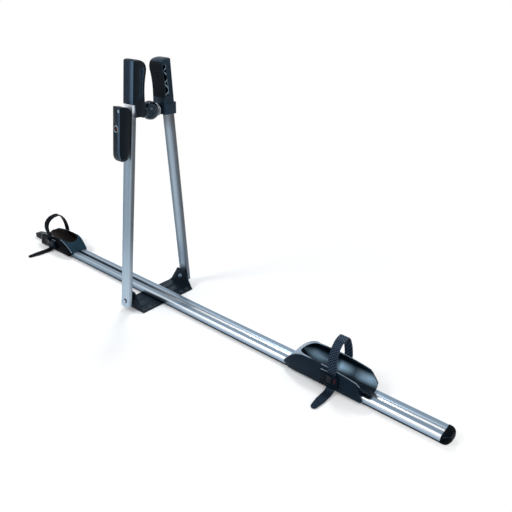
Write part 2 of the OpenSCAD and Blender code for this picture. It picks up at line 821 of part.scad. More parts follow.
module right_jaw() {
  color(black) difference() {
    union() {
      difference() {
        jaw_form(block_height);
        side_recesses(true);
      }
      leg_collar();
    }
    pad_band();
    leg_socket();
    jaw_screw_holes();
    translate([0, 0, rod_height]) {
      rod_y(rod_collar_r + 0.2, pad_y - 20, pad_y + rod_collar_len + 0.2);
      rod_y(collar_bore_r, pad_y - 20, leg_y(rod_height) - leg_d / 2);
    }
  }
}

// Rubber pad on a jaw, with shallow cross grooves in its flat
module jaw_pad() {
  difference() {
    intersection() {
      jaw_form(block_height);
      pad_band();
    }
    for (z = [pad_low + 8:pad_groove_pitch:tip_height - 13])
      translate([0, pad_y - 1.2 - pow(max(0, z - pad_bend_z), 2) / (2 * pad_curve_r), z])
        rod_x(1.8, jaw_w - 9);
  }
}

module left_jaw_pad() {
  color(rubber) on_left() jaw_pad();
}

module right_jaw_pad() {
  color(rubber) jaw_pad();
}

module left_jaw_screws() {
  color(zinc) on_left() jaw_screws_right();
}

module right_jaw_screws() {
  color(zinc) jaw_screws_right();
}

// Clamp

// Steel collar in the right jaw that the rod runs through
module rod_collar() {
  color(zinc) translate([0, 0, rod_height]) difference() {
    rod_y(rod_collar_r, pad_y, pad_y + rod_collar_len);
    rod_y(collar_bore_r, pad_y - 1, pad_y + rod_collar_len + 1);
  }
}

// Tie rod that the knob is fixed on, turning in the cam barrel at its left end
module tie_rod() {
  color(zinc) translate([0, 0, rod_height]) {
    rod_y(rod_r, -lever_y - rod_reach, leg_y(rod_height) - leg_d / 2 - 2);
    rod_y(rod_r + 2, -pad_y + 0.5, -pad_y + 2);
  }
}

// Ball knob with finger grooves and a collar at each end
module clamp_knob() {
  color(black) translate([0, 0, rod_height]) difference() {
    union() {
      sphere(knob_r, $fn = 96);
      rod_y(knob_collar_r, -pad_y + 2.5, pad_y - 0.5);
      rod_y(knob_collar_r + 3, -pad_y + 7, pad_y - 5);
    }
    for (i = [0:knob_grooves - 1]) rotate([0, i * 360 / knob_grooves, 0])
      translate([0, 0, knob_r + groove_r * 0.5]) rod_y(groove_r, -knob_r, knob_r);
    rod_y(rod_r + running_gap, -pad_y, pad_y);
  }
}

// Cross barrel that the lever turns on and the rod passes through
module cam_barrel() {
  color(zinc) difference() {
    translate([0, -lever_y, rod_height]) rod_x(barrel_r, 2 * barrel_half);
    translate([0, 0, rod_height]) rod_y(rod_r + running_gap, -lever_y - 2 * barrel_r, 0);
  }
}

// Side view of the lever, drawn for the right side: head, grip and rounded end
module lever_outline() {
  head = [lever_y, rod_height];
  end = [lever_out_low - 13, lever_end];
  inner_low = [lever_y, lever_end + 9];
  polygon(concat(arc(head, lever_head_r, 90, 180, 14),
    [[lever_y - lever_head_r + 0.6, rod_height - 16],
      [lever_y - lever_head_r + 3, rod_height - 40],
      [lever_y - 7.5, rod_height - 72], inner_low],
    curve(inner_low, [lever_y + 1, lever_end], end, 6),
    curve(end, [lever_out_low, lever_end], [lever_out_low, lever_end + 30], 8),
    [[lever_out_low - 3, rod_height - 46], [lever_out_top + 2, rod_height - 10],
      [lever_out_top, lever_top - 3], [lever_out_top - 3, lever_top]]));
}

// Front view of the lever
module lever_front_outline() {
  end_r = 10;
  half = lever_w / 2;
  translate([-half, lever_end + end_r]) square([lever_w, lever_top - lever_end - end_r]);
  translate([-half + end_r, lever_end - 1]) square([lever_w - 2 * end_r, end_r + 2]);
  for (sx = [-1, 1]) translate([sx * (half - end_r), lever_end + end_r]) circle(end_r);
}

module clamp_lever() {
  color(black) on_left() difference() {
    intersection() {
      along_x(lever_w) lever_outline();
      along_y(big) lever_front_outline();
      translate([0, lever_out_low - lever_depth / 2 - lever_face_in, rod_height - lever_face_drop])
        rotate([lever_tilt, 0, 0])
          linear_extrude(big, center = true) round_rect(lever_w, lever_depth, 3.5);
    }
    translate([0, lever_y, rod_height]) rod_x(barrel_r + running_gap, 2 * barrel_half + 0.6);
    lever_rod_slot();
    lever_grip_hollow();
    translate([0, 0, lock_height]) rod_y(lock_r + running_gap, lock_back, lever_out_low + 5);
    translate([lever_screw_x, 0, lever_screw_z])
      rod_y(lever_screw_head_r + 0.2, lever_out_top - 1.8, lever_out_low);
    translate([lever_screw_x, 0, lever_screw_z])
      rod_y(lever_screw_r + running_gap, lever_out_top - 8, lever_out_low);
  }
}

// Slot that the rod sweeps through as the lever opens
module lever_rod_slot() {
  slot = rod_r + 0.6;
  reach = 40;
  intersection() {
    translate([0, lever_y, rod_height]) rod_x(lever_head_r + 8, 2 * slot);
    translate([-slot, lever_y - reach, rod_height - slot]) cube([2 * slot, reach + slot, reach]);
  }
}

// Hollow in the lever's inner side for the fingers
module lever_grip_hollow() {
  along_x(lever_w - 2 * lever_wall)
    polygon([[lever_y - 20, rod_height - 56], [lever_out_low - 9, rod_height - 60],
      [lever_out_low - 5, lever_end + 30], [lever_y + 8, lever_end + 10],
      [lever_y - 20, lever_end + 16]]);
}

module lever_screw() {
  color(zinc) on_left() translate([lever_screw_x, 0, lever_screw_z]) difference() {
    union() {
      rod_y(lever_screw_r, lever_out_top - 7, lever_out_top);
      rod_y(lever_screw_head_r, lever_out_top - 1.6, lever_out_top + 0.4);
    }
    for (a = [0, 90]) rotate([0, a, 0])
      translate([0, lever_out_top + 0.4, 0]) cube([4, 1.6, 0.8], center = true);
  }
}

// Housing of the lock, pressed into the lever's outer face
module lock_housing() {
  color(zinc) on_left() translate([0, 0, lock_height]) difference() {
    rod_y(lock_r, lock_back + 0.4, lock_face);
    rod_y(lock_core_r, lock_back + 2, lock_face + 1);
  }
}

// Turning cylinder of the lock, with its key slot
module lock_cylinder() {
  color(zinc) on_left() translate([0, 0, lock_height]) difference() {
    rod_y(lock_core_r - running_gap, lock_back + 2.3, lock_face - 0.4);
    translate([0, lock_face, 0]) cube([1.4, 8, 6], center = true);
  }
}

// Wheel cradles, drawn with the strap at X = 0, the nose at minus X and the buckle at minus Y

// Places a cradle's piece at the rear, with the rear cradle's sizes
module at_rear() {
  $nose_len = rear_nose_len;
  $tail_len = rear_tail_len;
  $tray_w = rear_tray_w;
  $crest_z = rear_crest_z;
  $skirt_z = rear_skirt_z;
  $trough_r = rear_trough_r;
  $trough_z = rear_trough_z;
  $bowl_x = rear_bowl_x;
  $loop_z = rear_loop_z;
  $pinch = rear_pinch;
  $bulge = rear_bulge;
  $tail_y = rear_tail_y;
  $buckle_h = rear_buckle_h;
  translate([rear_strap_x, 0, 0]) children();
}

// Places a cradle's piece at the front, turned round and with the front cradle's sizes
module at_front() {
  $nose_len = front_nose_len;
  $tail_len = front_tail_len;
  $tray_w = front_tray_w;
  $crest_z = front_crest_z;
  $skirt_z = front_skirt_z;
  $trough_r = front_trough_r;
  $trough_z = front_trough_z;
  $bowl_x = front_bowl_x;
  $loop_z = front_loop_z;
  $pinch = front_pinch;
  $bulge = front_bulge;
  $tail_y = front_tail_y;
  $buckle_h = front_buckle_h;
  translate([front_strap_place, 0, 0]) mirror([1, 0, 0]) children();
}

// Lean of a cradle's side panels
function tray_slope() = atan(($tray_w - skirt_w) / 2 / ($crest_z - $skirt_z));

// Height of the seat for the cradle's bolt, sunk in the floor of the trough
function bolt_seat_z() = $trough_z - $trough_r - tray_bolt_sink;

// Side view of the cradle's body
module cradle_side_outline() {
  nose_foot = [-$nose_len + 15, $skirt_z];
  nose_tip = [-$nose_len, rail_top - 3.5];
  crest_front = [-$nose_len + 52, $crest_z];
  crest_back = [$tail_len - 28, $crest_z - 8];
  polygon(concat([nose_foot, nose_tip, nose_tip + [0.6, 4]],
    curve(nose_tip + [0.6, 4], [-$nose_len + 26, $crest_z - 3], crest_front, 9),
    curve(crest_front, [0, $crest_z + 2], crest_back, 9), [[$tail_len - 14, $skirt_z]]));
}

// Cross section of the cradle's body, wider at the crests than at the skirts
module cradle_section() {
  polygon([[-skirt_w / 2, $skirt_z], [-$tray_w / 2, $crest_z], [-$tray_w / 2 + 1.2, $crest_z + 4],
    [$tray_w / 2 - 1.2, $crest_z + 4], [$tray_w / 2, $crest_z], [skirt_w / 2, $skirt_z]]);
}

// Plan of the cradle's body, drawn in towards the nose
module cradle_plan() {
  half = $tray_w / 2 + 1;
  tip = skirt_w / 2 - 2.5;
  right = concat([[-$nose_len - 1, tip]], curve([-$nose_len - 1, tip], [-$nose_len + 25, tip + 4],
    [-$nose_len + 55, half], 8), [[$tail_len + 5, half]]);
  polygon(concat(right, [for (i = [len(right) - 1:-1:0]) [right[i].x, -right[i].y]]));
}

// Lip of the trough, which runs on past the skirts
module cradle_lip() {
  lip_low = rail_top + seat_gap;
  body_x = $tail_len - 60;
  intersection() {
    translate([$tail_len - 50, 0, $trough_z]) rotate([0, 90, 0]) cylinder(r = $trough_r + 3.4, h = 50);
    along_y($tray_w) polygon([[body_x, lip_low], [$tail_len - 6, lip_low], [$tail_len, lip_low + 4.7],
      [$tail_len, lip_low + 11.7], [$tail_len - 28, $crest_z - 8], [body_x, $crest_z - 8]]);
    cylinder(r = $tail_len, h = 200);
  }
}

// Frame of the near side panel, with Z up along it and minus Y out of it
module panel_frame() {
  translate([0, -skirt_w / 2, $skirt_z]) rotate([tray_slope(), 0, 0]) children();
}

// Frame of the far side panel, as a mirror image
module far_panel_frame() {
  mirror([0, 1, 0]) panel_frame() children();
}

module cradle() {
  difference() {
    union() {
      intersection() {
        along_y($tray_w + 10) cradle_side_outline();
        along_x(2 * $nose_len + 40) cradle_section();
        linear_extrude(200) cradle_plan();
      }
      cradle_lip();
    }
    translate([-$bowl_x, 0, $trough_z]) {
      sphere($trough_r, $fn = 96);
      rotate([0, 90, 0]) cylinder(r = $trough_r, h = 300, $fn = 96);
    }
    translate([-$nose_len - 5, -rail_w / 2 - seat_gap, -1])
      cube([$nose_len + $tail_len + 20, rail_w + 2 * seat_gap, rail_top + seat_gap + 1]);
    translate([tray_bolt_x, 0, 0]) {
      cylinder(r = tray_bolt_r + running_gap, h = 60);
      translate([0, 0, bolt_seat_z()]) cylinder(r = tray_bolt_head_r + seat_gap, h = 20);
    }
    far_panel_frame() translate([0, 0, strap_rivet_z])
      rod_y(strap_rivet_r + running_gap, -2, strap_rivet_len + 0.4);
  }
}

// Round headed bolt from the trough's floor into the nut in the rail
module cradle_bolt() {
  nut_low = channel_top - seat_gap - tray_nut_h;
  head_h = 2.6;
  dome_r = 12;
  translate([tray_bolt_x, 0, 0]) {
    translate([0, 0, nut_low]) cylinder(r = tray_bolt_r, h = bolt_seat_z() + 1 - nut_low);
    intersection() {
      translate([0, 0, bolt_seat_z()]) cylinder(r = tray_bolt_head_r, h = head_h + 1);
      translate([0, 0, bolt_seat_z() + head_h - dome_r]) sphere(dome_r);
    }
  }
}

// Block in the rail's channel that the cradle's bolt pulls up against the lips
module cradle_nut() {
  translate([tray_bolt_x, 0, channel_top - seat_gap - tray_nut_h]) difference() {
    linear_extrude(tray_nut_h) round_rect(tray_nut_len, channel_w - 2 * seat_gap, 2);
    translate([0, 0, -1]) cylinder(r = tray_bolt_r + running_gap, h = tray_nut_h + 2);
  }
}

// Point beside the far panel, at a height along it and a distance out of it
function panel_point(z, out) =
  [skirt_w / 2 + z * sin(tray_slope()) + out * cos(tray_slope()),
   $skirt_z + z * cos(tray_slope()) - out * sin(tray_slope())];

// Centre line of a strap in Y and Z: up the far side panel, over the wheel, down through
// the buckle and out along the ground
function strap_path() =
  let (crest = panel_point($crest_z - $skirt_z + 2, strap_mid),
    mouth = panel_point(buckle_low, strap_mid),
    near = [-crest.x, crest.y],
    exit = [-mouth.x, mouth.y],
    ground = strap_t / 2 + 1,
    over = $loop_z - strap_t / 2 - crest.y,
    n_far = round(0.7 * (crest.x + over) / tooth_pitch) * 2,
    n_near = round(1.4 * (crest.x + over) / tooth_pitch) * 2,
    n_side = round((crest.y - mouth.y) / tooth_pitch) * 2)
  concat([panel_point(strap_root, strap_mid)],
    [for (i = [0:n_far], a = 90 * i / n_far)
      [crest.x * cos(a) * (1 - $pinch * sin(a)), crest.y + over * sin(a)]],
    [for (i = [1:n_near], a = 90 * i / n_near)
      [-crest.x * sin(a) * (1 + $bulge * cos(a)), crest.y + over * cos(a)]],
    [for (i = [1:n_side]) near + (exit - near) * i / n_side],
    curve(exit, [exit.x + 1, ground + 0.2], [exit.x - 24, ground + 0.4], 6),
    [[-$tail_y - 1, ground]]);

// Direction square to a path at one of its points
function path_normal(path, i) =
  let (a = path[max(0, i - 1)], b = path[min(len(path) - 1, i + 1)], d = (b - a) / norm(b - a))
  [d.y, -d.x];

// Plan of a strap, narrowed to a round loose end
module strap_plan() {
  centre = [0, strap_end_r - $tail_y];
  side = concat([[strap_w / 2 + 1, 100], [strap_w / 2 + 1, centre.y + 30]],
    arc(centre, strap_end_r, 0, -90, 6));
  polygon(concat(side, [for (i = [len(side) - 2:-1:0]) [-side[i].x, side[i].y]]));
}

// One tooth on the outer side of a strap
module strap_tooth(path, i) {
  step = path[i + 1] - path[i];
  rise = path_normal(path, i) * (strap_t / 2 + tooth_h);
  polygon([path[i], path[i] + rise + step * 0.1, path[i] + rise + step * 0.7, path[i + 1]]);
}

// Strap with teeth across its outer side, from the top of the loop down to the buckle
module strap() {
  path = strap_path();
  count = len(path);
  difference() {
    intersection() {
      along_x(strap_w) union() {
        polygon(concat(
          [for (i = [0:count - 1]) path[i] + path_normal(path, i) * strap_t / 2],
          [for (i = [count - 1:-1:0]) path[i] - path_normal(path, i) * strap_t / 2]));
        for (i = [round(count * 0.36):2:count - 9]) strap_tooth(path, i);
      }
      linear_extrude($loop_z + 10) strap_plan();
    }
    far_panel_frame() translate([0, 0, strap_rivet_z]) rod_y(strap_rivet_r + running_gap, -8, 2);
  }
}

// Domed rivet that holds the strap's fixed end on the far side panel
module strap_rivet() {
  seat = -seat_gap - strap_t;
  dome_r = 7;
  far_panel_frame() translate([0, 0, strap_rivet_z]) {
    rod_y(strap_rivet_r, seat, strap_rivet_len);
    intersection() {
      rod_y(strap_rivet_head_r, seat - strap_rivet_head_h - 1, seat);
      translate([0, seat - strap_rivet_head_h + dome_r, 0]) sphere(dome_r);
    }
  }
}

// Buckle cover that bridges the strap, with a window for the pawl
module buckle() {
  channel_half = strap_w / 2 + 0.6;
  window_half = pawl_half + 0.4;
  width = buckle_half_left + buckle_half_right;
  half_h = $buckle_h / 2;
  panel_frame() difference() {
    translate([(buckle_half_right - buckle_half_left) / 2, 0, buckle_low + half_h]) intersection() {
      translate([0, -buckle_out / 2, 0]) rotate([90, 0, 0])
        linear_extrude(buckle_out, center = true) round_rect(width, $buckle_h, 3);
      along_x(width + 2) polygon([[0, -half_h], [-buckle_out, -half_h + 3],
        [-buckle_out, half_h - 3], [-buckle_out + 1.5, half_h], [0, half_h]]);
    }
    translate([-channel_half, -buckle_channel, 0]) cube([2 * channel_half, buckle_channel + 1, 60]);
    translate([-window_half, -buckle_out - 1, pawl_pin_z - 2.6]) cube([2 * window_half, buckle_out, 60]);
    translate([0, -pawl_pin_out, pawl_pin_z])
      rod_x(pawl_pin_r + running_gap, 2 * window_half + 6);
  }
}

// Pawl with its thumb lip and the tooth that holds the strap
module pawl() {
  pin = [-pawl_pin_out, pawl_pin_z];
  inner = -buckle_channel - 0.2;
  outer = -buckle_out - 0.4;
  top = buckle_low + $buckle_h - 1;
  panel_frame() difference() {
    along_x(2 * pawl_half) union() {
      translate(pin) circle(pawl_boss_r);
      polygon([pin + [1.6, 0], [inner, pawl_pin_z + 4], [inner, pawl_pin_z + 8],
        [inner - 1.2, pawl_pin_z + 9], [inner - 1, top], [outer - 3.2, top + 1.5],
        [outer - 3.6, top - 1], [outer, top - 5], [outer + 0.4, pawl_pin_z + 4],
        pin - [pawl_boss_r, 0]]);
    }
    translate([0, pin.x, pin.y]) rod_x(pawl_pin_r + running_gap, 40);
  }
}

module pawl_pin() {
  panel_frame() translate([0, -pawl_pin_out, pawl_pin_z]) rod_x(pawl_pin_r, 2 * pawl_half + 6);
}

module front_cradle() { color(black) at_front() cradle(); }
module front_cradle_bolt() { color(zinc) at_front() cradle_bolt(); }
module front_cradle_nut() { color(zinc) at_front() cradle_nut(); }
module front_strap() { color(rubber) at_front() strap(); }
module front_strap_rivet() { color(zinc) at_front() strap_rivet(); }
module front_buckle() { color(black) at_front() buckle(); }
module front_pawl() { color(black) at_front() pawl(); }
module front_pawl_pin() { color(zinc) at_front() pawl_pin(); }
module rear_cradle() { color(black) at_rear() cradle(); }
module rear_cradle_bolt() { color(zinc) at_rear() cradle_bolt(); }
module rear_cradle_nut() { color(zinc) at_rear() cradle_nut(); }
module rear_strap() { color(rubber) at_rear() strap(); }
module rear_strap_rivet() { color(zinc) at_rear() strap_rivet(); }
module rear_buckle() { color(black) at_rear() buckle(); }
module rear_pawl() { color(black) at_rear() pawl(); }
module rear_pawl_pin() { color(zinc) at_rear() pawl_pin(); }

base_bracket();
rail();
front_end_cap();
rear_end_cap();
rail_screws();
pivot_bolts();
left_leg();
left_foot_plug();
left_pivot_bush();
left_jaw();
left_jaw_pad();
left_jaw_screws();
cam_barrel();
right_leg();
right_foot_plug();
right_pivot_bush();
right_jaw();
right_jaw_pad();
right_jaw_screws();
rod_collar();
clamp_knob();
tie_rod();
clamp_lever();
lever_screw();
lock_housing();
lock_cylinder();
front_cradle();
front_cradle_bolt();
front_cradle_nut();
front_strap();
front_strap_rivet();
front_buckle();
front_pawl();
front_pawl_pin();
rear_cradle();
rear_cradle_bolt();
rear_cradle_nut();
rear_strap();
rear_strap_rivet();
rear_buckle();
rear_pawl();
rear_pawl_pin();
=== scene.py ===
"""Looks of a roof mounted bike carrier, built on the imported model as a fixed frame.

Metres. X runs along the rail to its rear end, Z is up, and the origin is the centre of the
foot bracket's underside. The near side of the picture is minus Y.
"""

import json
import logging
import math
from collections.abc import Sequence
from dataclasses import dataclass
from enum import Enum
from functools import lru_cache, reduce

import bmesh
import bpy
from mathutils import Matrix, Vector

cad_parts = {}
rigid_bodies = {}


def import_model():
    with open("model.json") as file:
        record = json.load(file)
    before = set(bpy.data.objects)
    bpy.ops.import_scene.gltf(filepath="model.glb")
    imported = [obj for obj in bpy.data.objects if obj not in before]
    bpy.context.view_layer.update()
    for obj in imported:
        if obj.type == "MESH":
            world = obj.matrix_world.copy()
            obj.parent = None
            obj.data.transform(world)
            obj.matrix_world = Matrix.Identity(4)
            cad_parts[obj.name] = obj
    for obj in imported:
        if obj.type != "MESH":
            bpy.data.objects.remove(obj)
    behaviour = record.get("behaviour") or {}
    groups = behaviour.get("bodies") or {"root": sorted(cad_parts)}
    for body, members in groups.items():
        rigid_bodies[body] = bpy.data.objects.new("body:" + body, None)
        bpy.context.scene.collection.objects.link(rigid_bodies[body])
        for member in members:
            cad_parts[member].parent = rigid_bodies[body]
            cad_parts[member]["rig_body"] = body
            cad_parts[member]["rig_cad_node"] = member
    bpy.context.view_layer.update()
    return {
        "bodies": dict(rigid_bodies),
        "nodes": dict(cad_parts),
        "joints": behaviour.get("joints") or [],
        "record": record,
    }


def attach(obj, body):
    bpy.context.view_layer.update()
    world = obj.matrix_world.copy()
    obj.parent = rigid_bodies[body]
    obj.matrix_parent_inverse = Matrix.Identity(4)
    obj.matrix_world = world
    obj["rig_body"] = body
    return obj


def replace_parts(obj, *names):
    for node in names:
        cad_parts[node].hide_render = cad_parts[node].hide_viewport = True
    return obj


LOG = logging.getLogger("bike_carrier")

Socket = bpy.types.NodeSocket
Colour = tuple[float, float, float, float]
Place = tuple[float, float, float]
Feed = Socket | float | Colour | Place
Stops = tuple[tuple[float, Colour], ...]
# A finish's colour, its roughness, its height pattern and that pattern's depth in metres.
Skin = tuple[Feed, Feed, Feed, float]

WHITE: Colour = (1.0, 1.0, 1.0, 1.0)
BLACK: Colour = (0.01, 0.012, 0.016, 1.0)
SKY_TINT: Colour = (0.5, 0.75, 1.0, 1.0)

# Shares and ranges of noise that the finishes have in common.
DARK_PATCH = 0.85
BUMP_STRENGTH = 0.6
FINE_RANGE = (0.3, 0.7)
BROAD_RANGE = (0.35, 0.65)

# Angles in degrees, but for the last, and a gap in metres.
SHARP_ANGLE = 32.0
ROUND_ANGLE = 60.0
BAR_ANGLE = 35.0
MERGE_GAP = 0.00001
FLAT_ANGLE = math.radians(0.6)

# Shares of a bar's smallest size, and parts of normals that tell faces apart.
INSET_SHARE = 0.18
SOFT_SHARE = 0.25
OUTWARD = 0.9
PANEL_ACROSS = 0.6
PANEL_UP = 0.25
TOP_ACROSS = 0.4
TOP_UP = 0.33


class Slot(Enum):
    """Material slots of the record, one of which each finish names."""

    ALUMINIUM = "anodised_aluminium"
    COATED = "coated_steel"
    PLASTIC = "black_plastic"
    GLOSS = "gloss_plastic"
    RUBBER = "rubber"
    ZINC = "zinc_steel"


class Effect(Enum):
    """Surface patterns that more than one finish uses."""

    GRAIN = "Moulded grain"
    BRUSH = "Brushed lines"
    MARKS = "Handling marks"
    TEETH = "Diamond teeth"


class Axis(Enum):
    """Turn that lays a ring's axis along one direction."""

    UP = (0.0, 0.0, 0.0)
    ALONG_Y = (math.pi / 2, 0.0, 0.0)


class End(Enum):
    """The two ends of the rail that carry a wheel cradle."""

    REAR = "rear"
    FRONT = "front"


def tone(red: int, green: int, blue: int) -> Colour:
    """Turns a display colour into the linear one that shaders use.

    Args:
        red: Red from 0 to 255.
        green: Green from 0 to 255.
        blue: Blue from 0 to 255.

    Returns:
        The linear colour, fully opaque.
    """
    parts = [value / 255 for value in (red, green, blue)]
    line = [p / 12.92 if p <= 0.04045 else ((p + 0.055) / 1.055) ** 2.4 for p in parts]
    return (line[0], line[1], line[2], 1.0)


def scaled(colour: Colour, by: float) -> Colour:
    """Makes a colour lighter or darker."""
    return (min(1.0, colour[0] * by), min(1.0, colour[1] * by), min(1.0, colour[2] * by), 1.0)


class Graph:
    """Fills one node tree, of a material, the world or a shared pattern."""

    def __init__(self, tree: bpy.types.NodeTree) -> None:
        """Starts on a tree."""
        self.tree = tree

    @classmethod
    def blank(cls, owner: bpy.types.Material | bpy.types.World) -> "Graph":
        """Starts on the emptied tree of a material or world.

        Args:
            owner: The material or world.

        Returns:
            The graph.
        """
        owner.use_nodes = True
        owner.node_tree.nodes.clear()
        return cls(owner.node_tree)

    def add(self, kind: str, *values: Feed, **settings: object) -> bpy.types.Node:
        """Adds a node.

        Args:
            kind: The node's type name.
            *values: What its first inputs get, in their order.
            **settings: Properties to set on it.

        Returns:
            The new node.
        """
        node = self.tree.nodes.new(kind)
        for name, value in settings.items():
            setattr(node, name, value)
        for socket, value in zip(node.inputs, values):
            self.feed(socket, value)
        return node

    def feed(self, socket: Socket, value: Feed) -> None:
        """Links an output to an input, or sets a plain value on it.

        Args:
            socket: The input.
            value: An output socket, or the value itself.
        """
        if isinstance(value, Socket):
            self.tree.links.new(value, socket)
        else:
            socket.default_value = value

    def math(self, operation: str, *values: Feed) -> Socket:
        """Adds one sum."""
        return self.add("ShaderNodeMath", *values, operation=operation).outputs[0]

    def times(self, first: Feed, second: Feed) -> Socket:
        """Multiplies two values."""
        return self.math("MULTIPLY", first, second)

    def plus(self, first: Feed, second: Feed) -> Socket:
        """Adds two values."""
        return self.math("ADD", first, second)

    def minus(self, first: Feed, second: Feed) -> Socket:
        """Takes one value from another."""
        return self.math("SUBTRACT", first, second)

    def within(self, value: Feed, low: Feed, high: Feed) -> Socket:
        """Masks where a value lies in a range."""
        return self.times(self.math("GREATER_THAN", value, low), self.math("LESS_THAN", value, high))

    def length(self, *parts: Feed) -> Socket:
        """Works out a length from its parts along the axes."""
        return self.math("SQRT", reduce(self.plus, [self.times(part, part) for part in parts]))

    def span(self, value: Feed, low: float, high: float, to_low: float = 0.0,
             to_high: float = 1.0) -> Socket:
        """Maps a range of a value to another range, smoothly and clamped."""
        return self.add("ShaderNodeMapRange", value, low, high, to_low, to_high,
                        interpolation_type="SMOOTHSTEP").outputs[0]

    def mix(self, factor: Feed, first: Feed, second: Feed, blend: str = "MIX") -> Socket:
        """Mixes two colours.

        Args:
            factor: Share of the second colour.
            first: First colour.
            second: Second colour.
            blend: The way they are mixed.

        Returns:
            The result's socket.
        """
        node = self.add("ShaderNodeMix", factor, data_type="RGBA", blend_type=blend)
        self.feed(node.inputs[6], first)
        self.feed(node.inputs[7], second)
        return node.outputs[2]

    def mottled(self, shade: Feed, colour: Colour, top: float) -> Socket:
        """Makes a colour uneven."""
        return self.mix(shade, scaled(colour, DARK_PATCH), scaled(colour, top))

    def noise(self, vector: Feed, scale: Feed, detail: float) -> Socket:
        """Adds a noise pattern."""
        return self.add("ShaderNodeTexNoise", vector, 0.0, scale, detail).outputs[0]

    def bands(self, value: Feed, stops: Stops) -> Socket:
        """Lays colours at places along a value, blended in between.

        Args:
            value: The value.
            stops: Places and colours, in order.

        Returns:
            The colour's socket.
        """
        first, last = stops[0][0], stops[-1][0]
        node = self.add("ShaderNodeValToRGB", self.add("ShaderNodeMapRange", value, first, last).outputs[0])
        elements = node.color_ramp.elements
        while len(elements) < len(stops):
            elements.new(0.5)
        for element, (place, colour) in zip(elements, stops):
            element.position = (place - first) / (last - first)
            element.color = colour
        return node.outputs[0]

    def spot(self) -> Socket:
        """Reads the place on the surface."""
        return self.add("ShaderNodeTexCoord").outputs["Object"]

    def axes(self) -> tuple[Socket, Socket, Socket]:
        """Reads the place on the surface axis by axis."""
        node = self.add("ShaderNodeSeparateXYZ", self.spot())
        return node.outputs[0], node.outputs[1], node.outputs[2]

    def facing_y(self) -> Socket:
        """Reads how much the surface faces across the rail."""
        return self.add("ShaderNodeSeparateXYZ", self.add("ShaderNodeTexCoord").outputs["Normal"]).outputs[1]

    def effect(self, effect: Effect, setting: Feed, vector: Feed | None = None) -> bpy.types.NodeOutputs:
        """Places a shared pattern, read at the object coordinates or at another place."""
        place = self.spot() if vector is None else vector
        return self.add("ShaderNodeGroup", place, setting, node_tree=pattern(effect)).outputs

    def marks(self, scale: float) -> Socket:
        """Places the pattern of handling marks."""
        return self.effect(Effect.MARKS, scale)["Mask"]

    def wear_and_highlight(self, height: Feed) -> Socket:
        """Finds patchy places on a piece's bevelled edges, which the finishes lighten for wear and as
        painted edge highlights.
        """
        edge = self.add("ShaderNodeAttribute", attribute_name="edge_wear")
        return self.times(edge.outputs["Fac"], self.span(height, 0.25, 0.55))


PATTERNS: dict[Effect, tuple[str, str, tuple[str, ...]]] = {
    Effect.GRAIN: ("Scale", "NodeSocketFloat", ("Height", "Shade")),
    Effect.BRUSH: ("Stretch", "NodeSocketVector", ("Height", "Shade")),
    Effect.MARKS: ("Scale", "NodeSocketFloat", ("Mask",)),
    Effect.TEETH: ("Pitch", "NodeSocketFloat", ("Mask",)),
}


def draw(effect: Effect, graph: Graph, vector: Socket, setting: Socket) -> dict[str, Feed]:
    """Draws a shared pattern.

    Grain is that of moulded plastic, with its broad unevenness. Brushed lines run one way.
    Marks are patches of small scuffed spots and dust. Teeth are rows of small diamonds over X and Z.

    Args:
        effect: The pattern.
        graph: The pattern's tree.
        vector: Where it is read.
        setting: Its other input, as the table of patterns names it.

    Returns:
        The outputs by name.
    """
    if effect is Effect.GRAIN:
        broad = graph.noise(vector, graph.times(setting, 0.035), 2.0)
        return {"Height": graph.noise(vector, setting, 4.0), "Shade": graph.span(broad, *BROAD_RANGE)}
    if effect is Effect.BRUSH:
        drawn = graph.add("ShaderNodeVectorMath", vector, setting, operation="MULTIPLY").outputs[0]
        return {"Height": graph.noise(drawn, 1.0, 4.0),
                "Shade": graph.span(graph.noise(drawn, 0.12, 2.0), *BROAD_RANGE)}
    if effect is Effect.MARKS:
        small = graph.span(graph.noise(vector, setting, 8.0), 0.56, 0.7)
        patch = graph.span(graph.noise(vector, graph.times(setting, 0.12), 2.0), 0.42, 0.66)
        return {"Mask": graph.times(small, patch)}
    split = graph.add("ShaderNodeSeparateXYZ", vector)
    turn = graph.math("DIVIDE", 2 * math.pi, setting)
    waves = [graph.math("SINE", graph.times(split.outputs[i], turn)) for i in (0, 2)]
    return {"Mask": graph.span(graph.times(*waves), -0.1, 0.7)}


@lru_cache(maxsize=None)
def pattern(effect: Effect) -> bpy.types.NodeTree:
    """Builds the node group of a shared pattern once.

    Args:
        effect: The pattern.

    Returns:
        Its node tree.
    """
    setting, kind, outputs = PATTERNS[effect]
    tree = bpy.data.node_groups.new(effect.value, "ShaderNodeTree")
    tree.interface.new_socket(name="Vector", in_out="INPUT", socket_type="NodeSocketVector")
    tree.interface.new_socket(name=setting, in_out="INPUT", socket_type=kind)
    for name in outputs:
        tree.interface.new_socket(name=name, in_out="OUTPUT", socket_type="NodeSocketFloat")
    graph = Graph(tree)
    enter, leave = graph.add("NodeGroupInput"), graph.add("NodeGroupOutput")
    for name, value in draw(effect, graph, enter.outputs[0], enter.outputs[1]).items():
        graph.feed(leave.inputs[name], value)
    return tree


@dataclass(frozen=True)
class Finish:
    """A finish that becomes one material.

    Attributes:
        name: The material's name.
        slot: The record's slot that it stands for.
        level: Strength of its reflections.
        metallic: 1 for bare or plated metal, and 0 for plastic, rubber or paint.
    """

    name: str
    slot: Slot
    level: float = 0.5
    metallic: float = 0.0

    def shade(self, graph: Graph) -> Skin:
        """Draws the finish."""
        raise NotImplementedError


